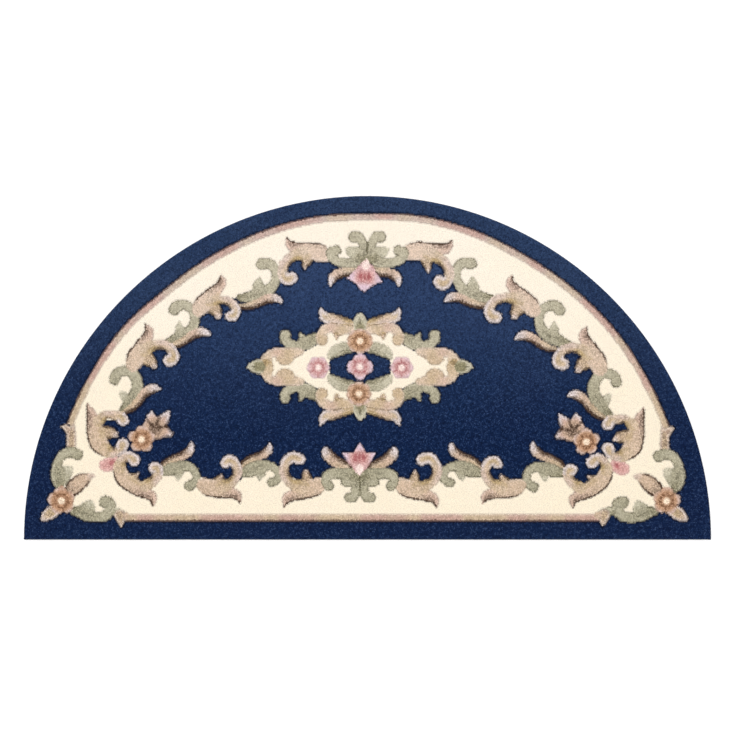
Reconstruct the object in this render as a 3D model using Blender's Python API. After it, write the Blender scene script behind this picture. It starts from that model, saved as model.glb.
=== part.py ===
"""Half-moon tufted hearth rug: one flat slab of pile with its ornament raised a little above the ground.

The rug lies on the XY plane, straight edge at -Y, arc at +Y, pile up. The origin is the middle of its
underside. The ornament is drawn with brush runs (a spine with a width at each point), flower rounds and
a few flat-sided shapes. All the tables below are in millimetres: u is measured to the right of the
middle, v above the straight edge.
"""

import math
from collections import namedtuple

import bpy
import numpy as np
from mathutils import Vector
from mathutils.geometry import delaunay_2d_cdt

RUG_NAME = "rug"
COLLECTION_NAME = "half_moon_tufted_rug"

# Driving sizes, in millimetres
MM = 0.001
RADIUS = 686.0
GROUND_HEIGHT = 12.0
RELIEF_HEIGHT = 1.6
RELIEF_SLOPE = 3.0
EDGE_HEIGHT = 8.5
EDGE_ROLL = 4.0
EDGE_BELLY_HEIGHT = 4.5
EDGE_TUCK = 1.5
GUARD_WIDTH = 14.0
STRAIGHT_GUARD_V = 43.5
STRAIGHT_GUARD_LEFT = -486.0
STRAIGHT_GUARD_RIGHT = 464.0
ARC_GUARD_START = 20.5
ARC_GUARD_END = 159.0

# How fine the solid's surface is
ARC_STEPS = 96
STRAIGHT_STEPS = 24
SPINE_STEP = 2.5
LOOP_STEP_MIN = 3.5
LOOP_STEP_MAX = 8.0
GUARD_STEP = 18.0
BAND_STEP = 2.0
CAP_STEPS = 4
LEVEL_TOLERANCE = 0.7
SHARPEST_CORNER = 0.35
SHARP_BEND = 0.94
LOOP_SHARE = 0.3
CLOSEST_POINTS = 1.0
THINNEST_RUN = 0.8
THINNEST_CREST = 0.3
FLOWER_STEPS = 60
PANEL_ARC_STEPS = 50
PAINT_MARGIN = 0.5
SHARP_EDGE_DEGREES = 40

# The navy band outside the guard line, by the angle round the arc in degrees
Band = namedtuple("Band", "angle width")
BAND = (
    Band(0, 43), Band(25, 42), Band(40, 38), Band(60, 37), Band(70, 33), Band(80, 31), Band(90, 35),
    Band(100, 33), Band(110, 36), Band(120, 40), Band(130, 43), Band(140, 39), Band(160, 43), Band(180, 43),
)

# A motif's width follows its size only in part, so that small ones stay bold
STEADY_WIDTH = 0.35

# Motifs in their own frames: x runs from the root to the far end, y to the side of the navy field
Run = namedtuple("Run", "x y width")
WING_LEAF = (Run(8, -3, 28), Run(22, -2, 36), Run(44, 4, 32), Run(65, 9, 24), Run(80, 10, 18), Run(92, 0, 3))
WING_ARM = (
    Run(42, 10, 26), Run(56, 27, 20), Run(64, 45, 19), Run(62, 60, 19), Run(54, 71, 21), Run(41, 73, 24),
    Run(34, 65, 22),
)
TOP_ARM = (
    Run(46, 12, 26), Run(62, 27, 20), Run(70, 45, 19), Run(66, 61, 19), Run(56, 70, 21), Run(46, 69, 24),
    Run(42, 62, 22),
)
SIDE_ARM = (
    Run(42, 11, 26), Run(56, 26, 20), Run(61, 42, 19), Run(57, 59, 19), Run(46, 70, 21), Run(34, 70, 24),
    Run(29, 62, 22),
)
LOW_ARM = (
    Run(43, 11, 26), Run(56, 28, 20), Run(60, 46, 19), Run(53, 61, 19), Run(41, 68, 21), Run(30, 66, 22),
    Run(27, 58, 20),
)
LONG_ARM = (
    Run(40, 11, 28), Run(52, 27, 21), Run(57, 44, 19), Run(53, 60, 19), Run(40, 72, 20), Run(23, 74, 20),
    Run(13, 64, 20),
)
WING_LOBE = (Run(28, 18, 26), Run(25, 32, 14), Run(18, 40, 2))
TOP_LOBE = (Run(36, 16, 24), Run(35, 31, 14), Run(32, 42, 2))
LOW_LOBE = (Run(32, 14, 24), Run(32, 25, 14), Run(32, 34, 3))
LONG_LOBE = (Run(26, 16, 24), Run(20, 29, 14), Run(15, 37, 3))
SCROLL_RUN = (
    Run(0, 0, 12), Run(10, 6, 20), Run(29, 12, 27), Run(48, 14, 31), Run(68, 11, 25), Run(84, 0, 20),
    Run(89, -16, 20), Run(84, -29, 22), Run(71, -36, 24),
)
LONG_SCROLL = (
    Run(0, 0, 12), Run(10, 5, 20), Run(29, 11, 27), Run(48, 13, 31), Run(67, 11, 25), Run(82, 0, 20),
    Run(88, -17, 20), Run(82, -32, 21), Run(71, -40, 23), Run(60, -39, 24),
)
LOW_SCROLL = (
    Run(0, 0, 12), Run(10, 3, 20), Run(29, 8, 27), Run(48, 11, 31), Run(68, 10, 25), Run(84, 0, 20),
    Run(89, -16, 20), Run(83, -29, 23), Run(73, -35, 25),
)
SCROLL_TOOTH = (Run(44, 5, 28), Run(51, -4, 17), Run(58, -16, 3))
TONGUE = (
    Run(0, 1, 10), Run(19, 2, 16), Run(38, -2, 19), Run(55, -8, 20), Run(70, -9, 20), Run(80, -6, 14),
    Run(86, 0, 5),
)
MOTIFS = {
    "wing": (("tan", WING_LOBE), ("tan", WING_LEAF), ("tan", WING_ARM)),
    "top_wing": (("tan", TOP_LOBE), ("tan", WING_LEAF), ("tan", TOP_ARM)),
    "side_wing": (("tan", WING_LOBE), ("tan", WING_LEAF), ("tan", SIDE_ARM)),
    "low_wing": (("tan", LOW_LOBE), ("tan", WING_LEAF), ("tan", LOW_ARM)),
    "long_wing": (("tan", LONG_LOBE), ("tan", WING_LEAF), ("tan", LONG_ARM)),
    "scroll": (("sage", SCROLL_TOOTH), ("sage", SCROLL_RUN)),
    "long_scroll": (("sage", SCROLL_TOOTH), ("sage", LONG_SCROLL)),
    "low_scroll": (("sage", SCROLL_TOOTH), ("sage", LOW_SCROLL)),
    "tongue": (("tan", TONGUE),),
}

# Where the motifs stand on the right half; the left twin lies twin_u further out and twin_v higher
Place = namedtuple("Place", "motif u v turn size flip twin_u twin_v")
ARC_AXIS = 0.0
ARC_PLACES = (
    Place("tongue", 240, 468, 174, 0.98, False, 13, -2),
    Place("tongue", 380, 379, 164, 1.00, False, 16, 9),
    Place("tongue", 474, 242, 147, 1.00, False, 14, 12),
    Place("scroll", 248, 483, 148, 1.00, False, 10, 0),
    Place("long_scroll", 403, 391, 139, 0.97, False, 7, 3),
    Place("long_scroll", 485, 249, 113, 0.93, False, 8, 5),
    Place("top_wing", 74, 566, 20, 1.05, True, 3, 0),
    Place("wing", 333, 449, 120, 0.98, False, 4, 1),
    Place("side_wing", 463, 332, 105, 1.04, False, 8, 7),
)
BOTTOM_AXIS = -12.0
BOTTOM_PLACES = (
    Place("tongue", 406, 141, 142, 0.94, True, -3, 0),
    Place("tongue", 240, 144, 142, 0.89, True, 3, 0),
    Place("low_scroll", 405, 131, 182, 0.88, True, 0, 2),
    Place("low_scroll", 239, 131, 182, 0.87, True, 2, 2),
    Place("low_wing", 321, 114, 208, 0.97, True, 0, 1),
    Place("long_wing", 74, 116, -34, 1.00, False, 4, 1),
)

# Brush runs drawn in place, on the right of their group's own axis
TOP_TONGUES = (
    ("tan", (Run(13, 542, 10), Run(27, 535, 18), Run(43, 533, 19), Run(58, 528, 20), Run(66, 519, 15),
             Run(68, 508, 5))),
)
TOP_CENTRE = (
    ("sage", (Run(10, 568, 32), Run(28, 573, 24), Run(42, 580, 5))),
    ("sage", (Run(8, 562, 26), Run(28, 553, 21), Run(50, 553, 19), Run(68, 561, 19), Run(73, 573, 20),
              Run(62, 577, 21))),
    ("sage", (Run(4, 560, 20), Run(7, 578, 20), Run(10, 593, 19), Run(18, 604, 21), Run(26, 604, 24))),
)
BOTTOM_CENTRE = (
    ("tan", (Run(13, 136, 10), Run(27, 145, 18), Run(43, 153, 20), Run(57, 162, 20), Run(66, 172, 17),
             Run(70, 182, 11), Run(67, 190, 4))),
    ("sage", (Run(8, 122, 28), Run(30, 119, 28), Run(38, 116, 20))),
    ("sage", (Run(8, 130, 26), Run(30, 131, 24), Run(50, 132, 22), Run(65, 127, 20), Run(68, 115, 18),
              Run(62, 107, 20))),
    ("sage", (Run(4, 125, 20), Run(7, 105, 18), Run(8, 90, 18), Run(14, 82, 20), Run(24, 83, 20))),
)
UPPER_CRESCENT = (
    ("tan", (Run(519, 205, 24), Run(506, 204, 18))),
    ("tan", (Run(481, 183, 22), Run(484, 172, 22), Run(499, 165, 20), Run(517, 168, 24), Run(532, 183, 36),
             Run(539, 205, 36), Run(542, 225, 30), Run(547, 242, 20), Run(556, 263, 3))),
    ("tan", (Run(534, 228, 22), Run(519, 240, 17), Run(504, 240, 17), Run(488, 238, 19), Run(482, 232, 20),
             Run(486, 228, 20))),
)
LOWER_CRESCENT = (
    ("tan", (Run(466, 147, 14), Run(458, 153, 18), Run(461, 163, 18), Run(472, 165, 18), Run(482, 155, 20),
             Run(486, 138, 26), Run(478, 118, 32), Run(455, 101, 32), Run(434, 89, 24), Run(420, 80, 18),
             Run(419, 66, 8))),
    ("tan", (Run(434, 103, 24), Run(417, 114, 20), Run(409, 127, 20), Run(409, 137, 19), Run(416, 138, 17))),
)
CREAM_BUD = (("rose", (Run(500, 150, 12), Run(507, 144, 25), Run(516, 140, 22))),)
UPPER_ORNAMENT = (
    ("guard", (Run(611, 222, 4), Run(603, 219, 12), Run(596, 211, 19), Run(595, 200, 21), Run(598, 182, 22))),
    ("guard", (Run(590, 226, 4), Run(593, 213, 14), Run(595, 200, 18))),
    ("sage", (Run(606, 142, 18), Run(589, 137, 4))),
    ("sage", (Run(580, 166, 24), Run(595, 170, 23), Run(609, 163, 27), Run(618, 147, 32), Run(619, 128, 32),
              Run(617, 110, 24), Run(614, 100, 12))),
)
LOWER_ORNAMENT = (
    ("sage", (Run(547, 55, 22), Run(545, 68, 10), Run(544, 78, 2))),
    ("sage", (Run(518, 77, 22), Run(508, 73, 21), Run(508, 60, 22), Run(518, 49, 23), Run(535, 45, 23),
              Run(555, 49, 25), Run(572, 55, 21), Run(582, 54, 10))),
    ("tan", (Run(548, 124, 2), Run(560, 116, 20), Run(575, 107, 32), Run(585, 103, 28))),
    ("apricot", (Run(613, 61, 22), Run(626, 52, 25), Run(636, 45, 17), Run(643, 40, 7))),
    ("apricot", (Run(604, 90, 24), Run(604, 96, 20))),
)
GUARD_TAIL = (
    ("guard", (Run(499, 56, 16), Run(483, 54, 18), Run(471, 48, 14))),
    ("guard", (Run(484, 50, 22), Run(481, 39, 14), Run(481, 29, 5))),
)

# A group of runs, the axis it is mirrored about, and how much higher its left twin lies
Group = namedtuple("Group", "axis lift runs")
GROUPS = (
    Group(-5.0, 0.0, TOP_TONGUES), Group(-2.0, 0.0, TOP_CENTRE), Group(-15.0, 0.0, BOTTOM_CENTRE),
    Group(-6.0, 7.0, CREAM_BUD), Group(-9.0, 4.0, LOWER_CRESCENT), Group(-4.0, 8.0, UPPER_CRESCENT),
    Group(1.0, 4.0, UPPER_ORNAMENT), Group(-7.0, 1.0, LOWER_ORNAMENT), Group(-11.0, -1.0, GUARD_TAIL),
)

# The medallion: runs for one quarter, measured from its centre, and a bud on each of its four ends
MEDALLION_U = -15.0
MEDALLION_V = 345.0
MEDALLION_QUARTER = (
    ("sage", (Run(20, 37, 14), Run(38, 35, 22), Run(54, 27, 18), Run(63, 16, 4))),
    ("sage", (Run(118, 50, 16), Run(121, 67, 4))),
    ("sage", (Run(90, 56, 22), Run(105, 48, 27), Run(123, 41, 21), Run(140, 45, 19), Run(150, 55, 19),
              Run(149, 63, 21))),
    ("tan", (Run(56, 66, 14), Run(59, 55, 6))),
    ("tan", (Run(148, 24, 26), Run(154, 8, 13))),
    ("tan", (Run(122, 29, 12), Run(132, 27, 18), Run(148, 27, 24), Run(165, 27, 26), Run(181, 20, 24),
             Run(186, 6, 26))),
    ("tan", (Run(13, 83, 16), Run(35, 90, 20), Run(55, 95, 22), Run(70, 99, 20), Run(79, 115, 5))),
    ("tan", (Run(11, 72, 14), Run(25, 75, 20), Run(50, 73, 25), Run(67, 69, 24), Run(78, 60, 21),
             Run(80, 50, 20))),
)
MEDALLION_BUDS = (
    ("sage", (Run(0, 75, 22), Run(0, 90, 26), Run(1, 106, 5))),
    ("sage", (Run(0, -75, 22), Run(0, -90, 26), Run(1, -106, 5))),
    ("sage", (Run(190, 0, 28), Run(203, 0, 26), Run(222, -2, 4))),
    ("sage", (Run(-190, 0, 28), Run(-203, 0, 26), Run(-222, -2, 4))),
)

# Flower rounds: petals is how many bulges the rim has, depth how deep they are
Round = namedtuple("Round", "u v radius petals depth turn yarn")
CORNER_ROUND = Round(444, 195, 26, 5, 0.13, 20, "apricot")
CORNER_ROUND_LIFT = 5.0
END_ROUND = Round(604, 77, 27, 5, 0.08, 10, "apricot")
FLOWER_AXIS = -7.0
MEDALLION_ROUNDS = (
    Round(0, 51, 26, 8, 0.03, 0, "apricot"), Round(-2, -54, 25, 8, 0.03, 0, "apricot"),
    Round(0, 0, 25, 4, 0.13, 0, "rose"), Round(83, -2, 21, 5, 0.05, 0, "rose"),
    Round(-83, -2, 21, 5, 0.05, 180, "rose"),
)

# Flat-sided shapes: the lily's right half, from its base, and the star bud beside the corner flower
Corner = namedtuple("Corner", "u v")
LILY_HALF = (
    Corner(0, 0), Corner(15, 17), Corner(25, 31), Corner(35, 43), Corner(22, 46), Corner(12, 50), Corner(8, 57),
    Corner(0, 64),
)
LilyPlace = namedtuple("LilyPlace", "u v turn size")
LILY_PLACES = (LilyPlace(-2, 561, 175, 1.03), LilyPlace(-16, 127, 0, 1.03))
STAR_BUD = (
    Corner(388, 253), Corner(406, 243), Corner(423, 251), Corner(433, 236), Corner(440, 222), Corner(436, 200),
    Corner(414, 193), Corner(399, 200), Corner(379, 204), Corner(387, 219), Corner(386, 236),
)

# The edges of the coloured grounds, on the right half; under the motifs they need only rough corners
FIELD_EDGE = (
    Corner(0, 545), Corner(30, 560), Corner(80, 566), Corner(118, 566), Corner(148, 560), Corner(158, 540),
    Corner(168, 520), Corner(180, 507), Corner(198, 492), Corner(222, 482), Corner(262, 483), Corner(300, 483),
    Corner(318, 462), Corner(334, 449), Corner(341, 430), Corner(352, 412), Corner(372, 396), Corner(392, 388),
    Corner(420, 384), Corner(445, 365), Corner(462, 335), Corner(452, 310), Corner(454, 285), Corner(470, 258),
    Corner(484, 238), Corner(514, 238), Corner(530, 222), Corner(526, 190), Corner(508, 170), Corner(480, 162),
    Corner(470, 154), Corner(476, 135), Corner(460, 113), Corner(434, 103), Corner(408, 112), Corner(396, 128),
    Corner(360, 138), Corner(338, 142), Corner(322, 132), Corner(308, 118), Corner(280, 104), Corner(250, 106),
    Corner(232, 122), Corner(193, 138), Corner(163, 140), Corner(148, 124), Corner(128, 122), Corner(100, 108),
    Corner(68, 114), Corner(42, 125), Corner(5, 128), Corner(-15, 128),
)
FIELD_TWIN_SHIFT = 22.0
PANEL_CORNER = (
    Corner(593, 200), Corner(597, 180), Corner(611, 165), Corner(621, 140), Corner(620, 115), Corner(611, 98),
    Corner(603, 85), Corner(599, 65), Corner(583, 58), Corner(565, 52), Corner(548, 46), Corner(528, 42),
    Corner(509, 50), Corner(497, 60), Corner(478, 54), Corner(464, 44),
)
PANEL_AXIS = -5.0
DIAMOND_QUARTER = (
    Corner(0, 62), Corner(28, 64), Corner(62, 62), Corner(76, 48), Corner(92, 40), Corner(118, 26), Corner(150, 4),
    Corner(175, 15), Corner(179, 0),
)
EYE_QUARTER = (Corner(0, 38), Corner(20, 36), Corner(38, 32), Corner(54, 24), Corner(61, 15), Corner(61, 0))

# Yarns: base colour in linear light, and roughness
Yarn = namedtuple("Yarn", "colour roughness")
YARNS = {
    "navy": Yarn((0.019, 0.035, 0.112), 0.95),
    "cream": Yarn((0.86, 0.78, 0.62), 0.95),
    "tan": Yarn((0.62, 0.45, 0.31), 0.95),
    "sage": Yarn((0.42, 0.38, 0.27), 0.95),
    "guard": Yarn((0.54, 0.38, 0.30), 0.95),
    "rose": Yarn((0.60, 0.35, 0.36), 0.95),
    "apricot": Yarn((0.52, 0.29, 0.18), 0.95),
}


def spline(rows, step):
    """Points of a smooth curve through rows, a given step apart; the widths run smoothly too."""
    knots = np.array(rows, float)
    if len(knots) == 2:
        knots = np.array([knots[0], knots.mean(0), knots[1]])
    knots = np.vstack([2 * knots[0] - knots[1], knots, 2 * knots[-1] - knots[-2]])
    pieces = []
    for a, b, c, d in zip(knots, knots[1:], knots[2:], knots[3:]):
        count = max(2, int(math.dist(b[:2], c[:2]) / step) + 1)
        t = np.linspace(0, 1, count, endpoint=False)[:, None]
        bend = 2 * a - 5 * b + 4 * c - d
        twist = 3 * b - a - 3 * c + d
        pieces.append(0.5 * (2 * b + (c - a) * t + bend * t**2 + twist * t**3))
    pieces.append(knots[-2:-1])
    return np.vstack(pieces)


def polygon_distance(points, corners):
    """Distance of each point from a closed polygon, negative inside it."""
    corners = np.array(corners, float)
    nearest = np.full(len(points), np.inf)
    inside = np.zeros(len(points), bool)
    for a, b in zip(corners, np.roll(corners, -1, 0)):
        side = b - a
        if not side.any():
            continue
        along = np.clip((points - a) @ side / (side @ side), 0, 1)
        nearest = np.minimum(nearest, np.linalg.norm(points - a - along[:, None] * side, axis=1))
        if a[1] != b[1]:
            crossing = a[0] + (points[:, 1] - a[1]) * side[0] / side[1]
            inside ^= ((a[1] > points[:, 1]) != (b[1] > points[:, 1])) & (points[:, 0] < crossing)
    return np.where(inside, -nearest, nearest)


class BrushRun:
    """A raised run of pile: a spine with a width at each of its points."""

    def __init__(self, yarn, rows):
        self.yarn = yarn
        curve = spline(rows, SPINE_STEP)
        self.spine = curve[:, :2]
        self.half = np.maximum(curve[:, 2] / 2, THINNEST_RUN)

    def distance(self, points):
        """How far points lie outside the run, negative inside it."""
        gaps = np.linalg.norm(points[:, None] - self.spine[None], axis=2) - self.half
        return gaps.min(1)

    def loop(self, inset):
        """The run's outline, drawn in by inset."""
        half = np.maximum(self.half - inset, THINNEST_CREST)
        ahead = np.gradient(self.spine, axis=0)
        ahead /= np.maximum(np.linalg.norm(ahead, axis=1), 1e-9)[:, None]
        across = np.column_stack([-ahead[:, 1], ahead[:, 0]])
        left = self.spine + across * half[:, None]
        right = self.spine - across * half[:, None]
        cap = np.linspace(0, math.pi, CAP_STEPS + 1)[1:-1, None]
        far = self.spine[-1] + half[-1] * (np.cos(cap) * across[-1] + np.sin(cap) * ahead[-1])
        near = self.spine[0] - half[0] * (np.cos(cap) * across[0] + np.sin(cap) * ahead[0])
        return np.vstack([left, far, right[::-1], near])


class FlowerRound:
    """A raised flower: a disc whose rim bulges once for each petal."""

    def __init__(self, flower):
        self.yarn = flower.yarn
        self.flower = flower
        self.centre = np.array([flower.u, flower.v], float)

    def rim(self, angles):
        """The radius at each angle."""
        lobes = np.cos(self.flower.petals * (angles - math.radians(self.flower.turn)))
        return self.flower.radius * (1 + self.flower.depth * lobes)

    def distance(self, points):
        """How far points lie outside the flower, negative inside it."""
        offset = points - self.centre
        return np.linalg.norm(offset, axis=1) - self.rim(np.arctan2(offset[:, 1], offset[:, 0]))

    def loop(self, inset):
        """The flower's outline, drawn in by inset."""
        angles = np.linspace(0, math.tau, FLOWER_STEPS, endpoint=False)
        reach = self.rim(angles) - inset
        return self.centre + reach[:, None] * np.column_stack([np.cos(angles), np.sin(angles)])


class FlatShape:
    """A raised shape with straight sides."""

    def __init__(self, yarn, corners):
        self.yarn = yarn
        self.corners = np.array(corners, float)

    def distance(self, points):
        """How far points lie outside the shape, negative inside it."""
        return polygon_distance(points, self.corners)

    def loop(self, inset):
        """The shape's outline, with every side drawn in by inset."""
        sides = np.roll(self.corners, -1, 0) - self.corners
        sides /= np.linalg.norm(sides, axis=1)[:, None]
        after = self.corners - self.corners.mean(0)
        turning = np.sign(np.sum(after[:, 0] * sides[:, 1] - after[:, 1] * sides[:, 0]))
        inward = turning * np.column_stack([-sides[:, 1], sides[:, 0]])
        before = np.roll(inward, 1, 0)
        opening = np.maximum(1 + np.sum(inward * before, axis=1), SHARPEST_CORNER)
        return self.corners + inset * (inward + before) / opening[:, None]


class GuardLine:
    """The thin raised line between the navy border and the cream panel, on the arc and on the straight edge."""

    yarn = "guard"

    def distance(self, points):
        """How far points lie outside the line, negative inside it."""
        angle = np.degrees(np.arctan2(points[:, 1], points[:, 0]))
        on_arc = np.abs(RADIUS - np.linalg.norm(points, axis=1) - guard_depth(angle)) - GUARD_WIDTH / 2
        past_arc = np.maximum(ARC_GUARD_START - angle, angle - ARC_GUARD_END) * math.radians(RADIUS)
        on_edge = np.abs(points[:, 1] - STRAIGHT_GUARD_V) - GUARD_WIDTH / 2
        past_edge = np.maximum(STRAIGHT_GUARD_LEFT - points[:, 0], points[:, 0] - STRAIGHT_GUARD_RIGHT)
        return np.minimum(np.maximum(on_arc, past_arc), np.maximum(on_edge, past_edge))

    def lines(self, inset):
        """The long sides of both stretches, drawn in by inset."""
        half = GUARD_WIDTH / 2 - inset
        span = math.radians(ARC_GUARD_END - ARC_GUARD_START) * RADIUS
        angles = np.linspace(ARC_GUARD_START, ARC_GUARD_END, int(span / GUARD_STEP))
        count = int((STRAIGHT_GUARD_RIGHT - STRAIGHT_GUARD_LEFT) / GUARD_STEP)
        along = np.linspace(STRAIGHT_GUARD_LEFT, STRAIGHT_GUARD_RIGHT, count)
        for sign in (-1, 1):
            reach = RADIUS - guard_depth(angles) + sign * half
            yield np.column_stack([reach * np.cos(np.radians(angles)), reach * np.sin(np.radians(angles))])
            yield np.column_stack([along, np.full(count, STRAIGHT_GUARD_V + sign * half)])


def guard_depth(angle):
    """How far the guard line's middle lies inside the arc, at an angle in degrees."""
    curve = spline(BAND, BAND_STEP)
    return np.interp(angle, curve[:, 0], curve[:, 1]) + GUARD_WIDTH / 2


def turned(rows, place):
    """A motif's rows, set down on the rug as its place says."""
    angle = math.radians(place.turn)
    fatness = STEADY_WIDTH + (1 - STEADY_WIDTH) * place.size
    for row in rows:
        x, y = place.size * row.x, place.size * (-row.y if place.flip else row.y)
        u = place.u + x * math.cos(angle) - y * math.sin(angle)
        v = place.v + x * math.sin(angle) + y * math.cos(angle)
        yield Run(u, v, row.width * fatness)


def mirrored(rows, axis, shift=0.0, lift=0.0):
    """The same rows on the right of an axis and, shift further out and lift higher, on its left."""
    right = [row._replace(**{row._fields[0]: axis + row[0]}) for row in rows]
    left = []
    for row in rows:
        left.append(row._replace(**{row._fields[0]: axis - row[0] - shift, row._fields[1]: row[1] + lift}))
    return right, left


def placed_motifs():
    """The repeated wings, scrolls and tongues round the field."""
    for axis, places in ((ARC_AXIS, ARC_PLACES), (BOTTOM_AXIS, BOTTOM_PLACES)):
        for place in places:
            for yarn, rows in MOTIFS[place.motif]:
                for side in mirrored(list(turned(rows, place)), axis, place.twin_u, place.twin_v):
                    yield BrushRun(yarn, side)


def drawn_runs():
    """The runs drawn in place: the two centres, the corners and the end ornaments."""
    for group in GROUPS:
        for yarn, rows in group.runs:
            for side in mirrored(rows, group.axis, 0.0, group.lift):
                yield BrushRun(yarn, side)


def medallion_shapes():
    """The medallion's runs, its end buds and its flowers."""
    for yarn, rows in MEDALLION_QUARTER:
        for flip in (1, -1):
            quarter = [Run(row.x, MEDALLION_V + flip * row.y, row.width) for row in rows]
            for side in mirrored(quarter, MEDALLION_U):
                yield BrushRun(yarn, side)
    for yarn, rows in MEDALLION_BUDS:
        yield BrushRun(yarn, [Run(MEDALLION_U + row.x, MEDALLION_V + row.y, row.width) for row in rows])
    for flower in MEDALLION_ROUNDS:
        yield FlowerRound(flower._replace(u=MEDALLION_U + flower.u, v=MEDALLION_V + flower.v))


def flowers():
    """The corner flowers with their star buds, the end flowers and the two lilies."""
    for side in mirrored(STAR_BUD, FLOWER_AXIS, 0.0, CORNER_ROUND_LIFT):
        yield FlatShape("apricot", side)
    for flower, lift in ((CORNER_ROUND, CORNER_ROUND_LIFT), (END_ROUND, 0.0)):
        yield FlowerRound(flower._replace(u=FLOWER_AXIS + flower.u))
        yield FlowerRound(flower._replace(u=FLOWER_AXIS - flower.u, v=flower.v + lift, turn=180 - flower.turn))
    whole = list(LILY_HALF) + [Corner(-corner.u, corner.v) for corner in LILY_HALF[-2:0:-1]]
    for place in LILY_PLACES:
        angle = math.radians(place.turn)
        yield FlatShape("rose", [
            (place.u + place.size * (corner.u * math.cos(angle) - corner.v * math.sin(angle)),
             place.v + place.size * (corner.u * math.sin(angle) + corner.v * math.cos(angle)))
            for corner in whole
        ])


def union_distance(shapes, points):
    """Distance outside the nearest of the shapes, negative inside one, and which one it is."""
    nearest = np.full(len(points), np.inf)
    which = np.zeros(len(points), int)
    for number, shape in enumerate(shapes):
        gap = shape.distance(points)
        closer = gap < nearest
        nearest[closer] = gap[closer]
        which[closer] = number
    return nearest, which


def rim_distance(points):
    """How far points lie inside the rug's outline."""
    return np.minimum(RADIUS - np.linalg.norm(points, axis=1), points[:, 1])


def smooth_step(value):
    """0 below 0, 1 above 1, and a soft ramp between."""
    t = np.clip(value, 0, 1)
    return t * t * (3 - 2 * t)


def pile_height(points, shapes):
    """The height of the pile: lower along the rim, raised on the ornament."""
    gap, _ = union_distance(shapes, points)
    rim = np.clip(rim_distance(points) / EDGE_ROLL, 0, 1)
    edge = EDGE_HEIGHT + (GROUND_HEIGHT - EDGE_HEIGHT) * np.sqrt(1 - (1 - rim) ** 2)
    return edge + RELIEF_HEIGHT * smooth_step(-gap / RELIEF_SLOPE)


def outline(inset):
    """The rug's outline, drawn in by inset, counter-clockwise from its right-hand corner."""
    reach = RADIUS - inset
    start = math.asin(inset / reach)
    angles = np.linspace(start, math.pi - start, ARC_STEPS + 1)
    arc = np.column_stack([reach * np.cos(angles), reach * np.sin(angles)])
    straight = np.linspace(arc[-1], arc[0], STRAIGHT_STEPS + 1)[1:-1]
    return np.vstack([arc, straight]).round(5)


def thinned(loop):
    """A closed loop's points, close together only where the loop is small or turns sharply."""
    kept = [loop[0]]
    size = np.ptp(loop, axis=0).min()
    step = min(max(LOOP_SHARE * size, LOOP_STEP_MIN), LOOP_STEP_MAX)
    for before, point, after in zip(loop, loop[1:], loop[2:]):
        bend = (point - before) @ (after - point)
        bend /= max(math.dist(before, point) * math.dist(point, after), 1e-9)
        needed = step if bend > SHARP_BEND else LOOP_STEP_MIN
        if math.dist(kept[-1], point) >= needed:
            kept.append(point)
    return np.array(kept)


class PointSet:
    """Points and edges for the triangulation, none of them too close together."""

    def __init__(self):
        self.points = []
        self.edges = []
        self.cells = {}

    def add(self, point):
        """The index of a point at this place, a new one if there is none within a millimetre."""
        cell = (round(point[0]), round(point[1]))
        for du in (-1, 0, 1):
            for dv in (-1, 0, 1):
                found = self.cells.get((cell[0] + du, cell[1] + dv))
                if found is not None and math.dist(self.points[found], point) < CLOSEST_POINTS:
                    return found
        self.points.append(tuple(point))
        self.cells[cell] = len(self.points) - 1
        return self.cells[cell]

    def chain(self, line, keep, closed):
        """Adds the kept points of a line and the edges between neighbours that are both kept."""
        index = [self.add(point) if kept else None for point, kept in zip(line, keep)]
        for a, b in zip(index, index[1:] + index[:1] if closed else index[1:]):
            if a is not None and b is not None and a != b:
                self.edges.append((a, b))


def surface_points(shapes):
    """The rug's outline, and the foot and the crest of every raised shape."""
    found = PointSet()
    for inset in (0.0, EDGE_ROLL / 3, EDGE_ROLL):
        ring = outline(inset)
        found.chain(ring, [True] * len(ring), True)
    for level in (0.0, RELIEF_SLOPE):
        lines = [(shape.loop(level), True) for shape in shapes if isinstance(shape, FlatShape)]
        curved = [shape for shape in shapes if isinstance(shape, (BrushRun, FlowerRound))]
        lines += [(thinned(shape.loop(level)), True) for shape in curved]
        lines += [(line, False) for shape in shapes if isinstance(shape, GuardLine) for line in shape.lines(level)]
        for line, closed in lines:
            gap, _ = union_distance(shapes, line)
            keep = np.abs(gap + level) < LEVEL_TOLERANCE
            found.chain(line, keep & (rim_distance(line) > EDGE_ROLL + 1), closed)
    return found


def quarter_outline(corners, centre_u, centre_v):
    """A four-fold outline from the corners of one quarter."""
    right = [(corner.u, corner.v) for corner in corners]
    right += [(u, -v) for u, v in reversed(right)]
    whole = right + [(-u, v) for u, v in reversed(right)]
    return [(centre_u + u, centre_v + v) for u, v in whole]


def panel_outline():
    """The cream panel's outline: along the guard line, and round the ornament at both ends."""
    angles = np.radians(np.linspace(ARC_GUARD_END, ARC_GUARD_START, PANEL_ARC_STEPS))
    reach = RADIUS - guard_depth(np.degrees(angles))
    arc = list(zip(reach * np.cos(angles), reach * np.sin(angles)))
    left = [(2 * PANEL_AXIS - corner.u, corner.v) for corner in reversed(PANEL_CORNER)]
    return arc + [(corner.u, corner.v) for corner in PANEL_CORNER] + left


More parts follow.
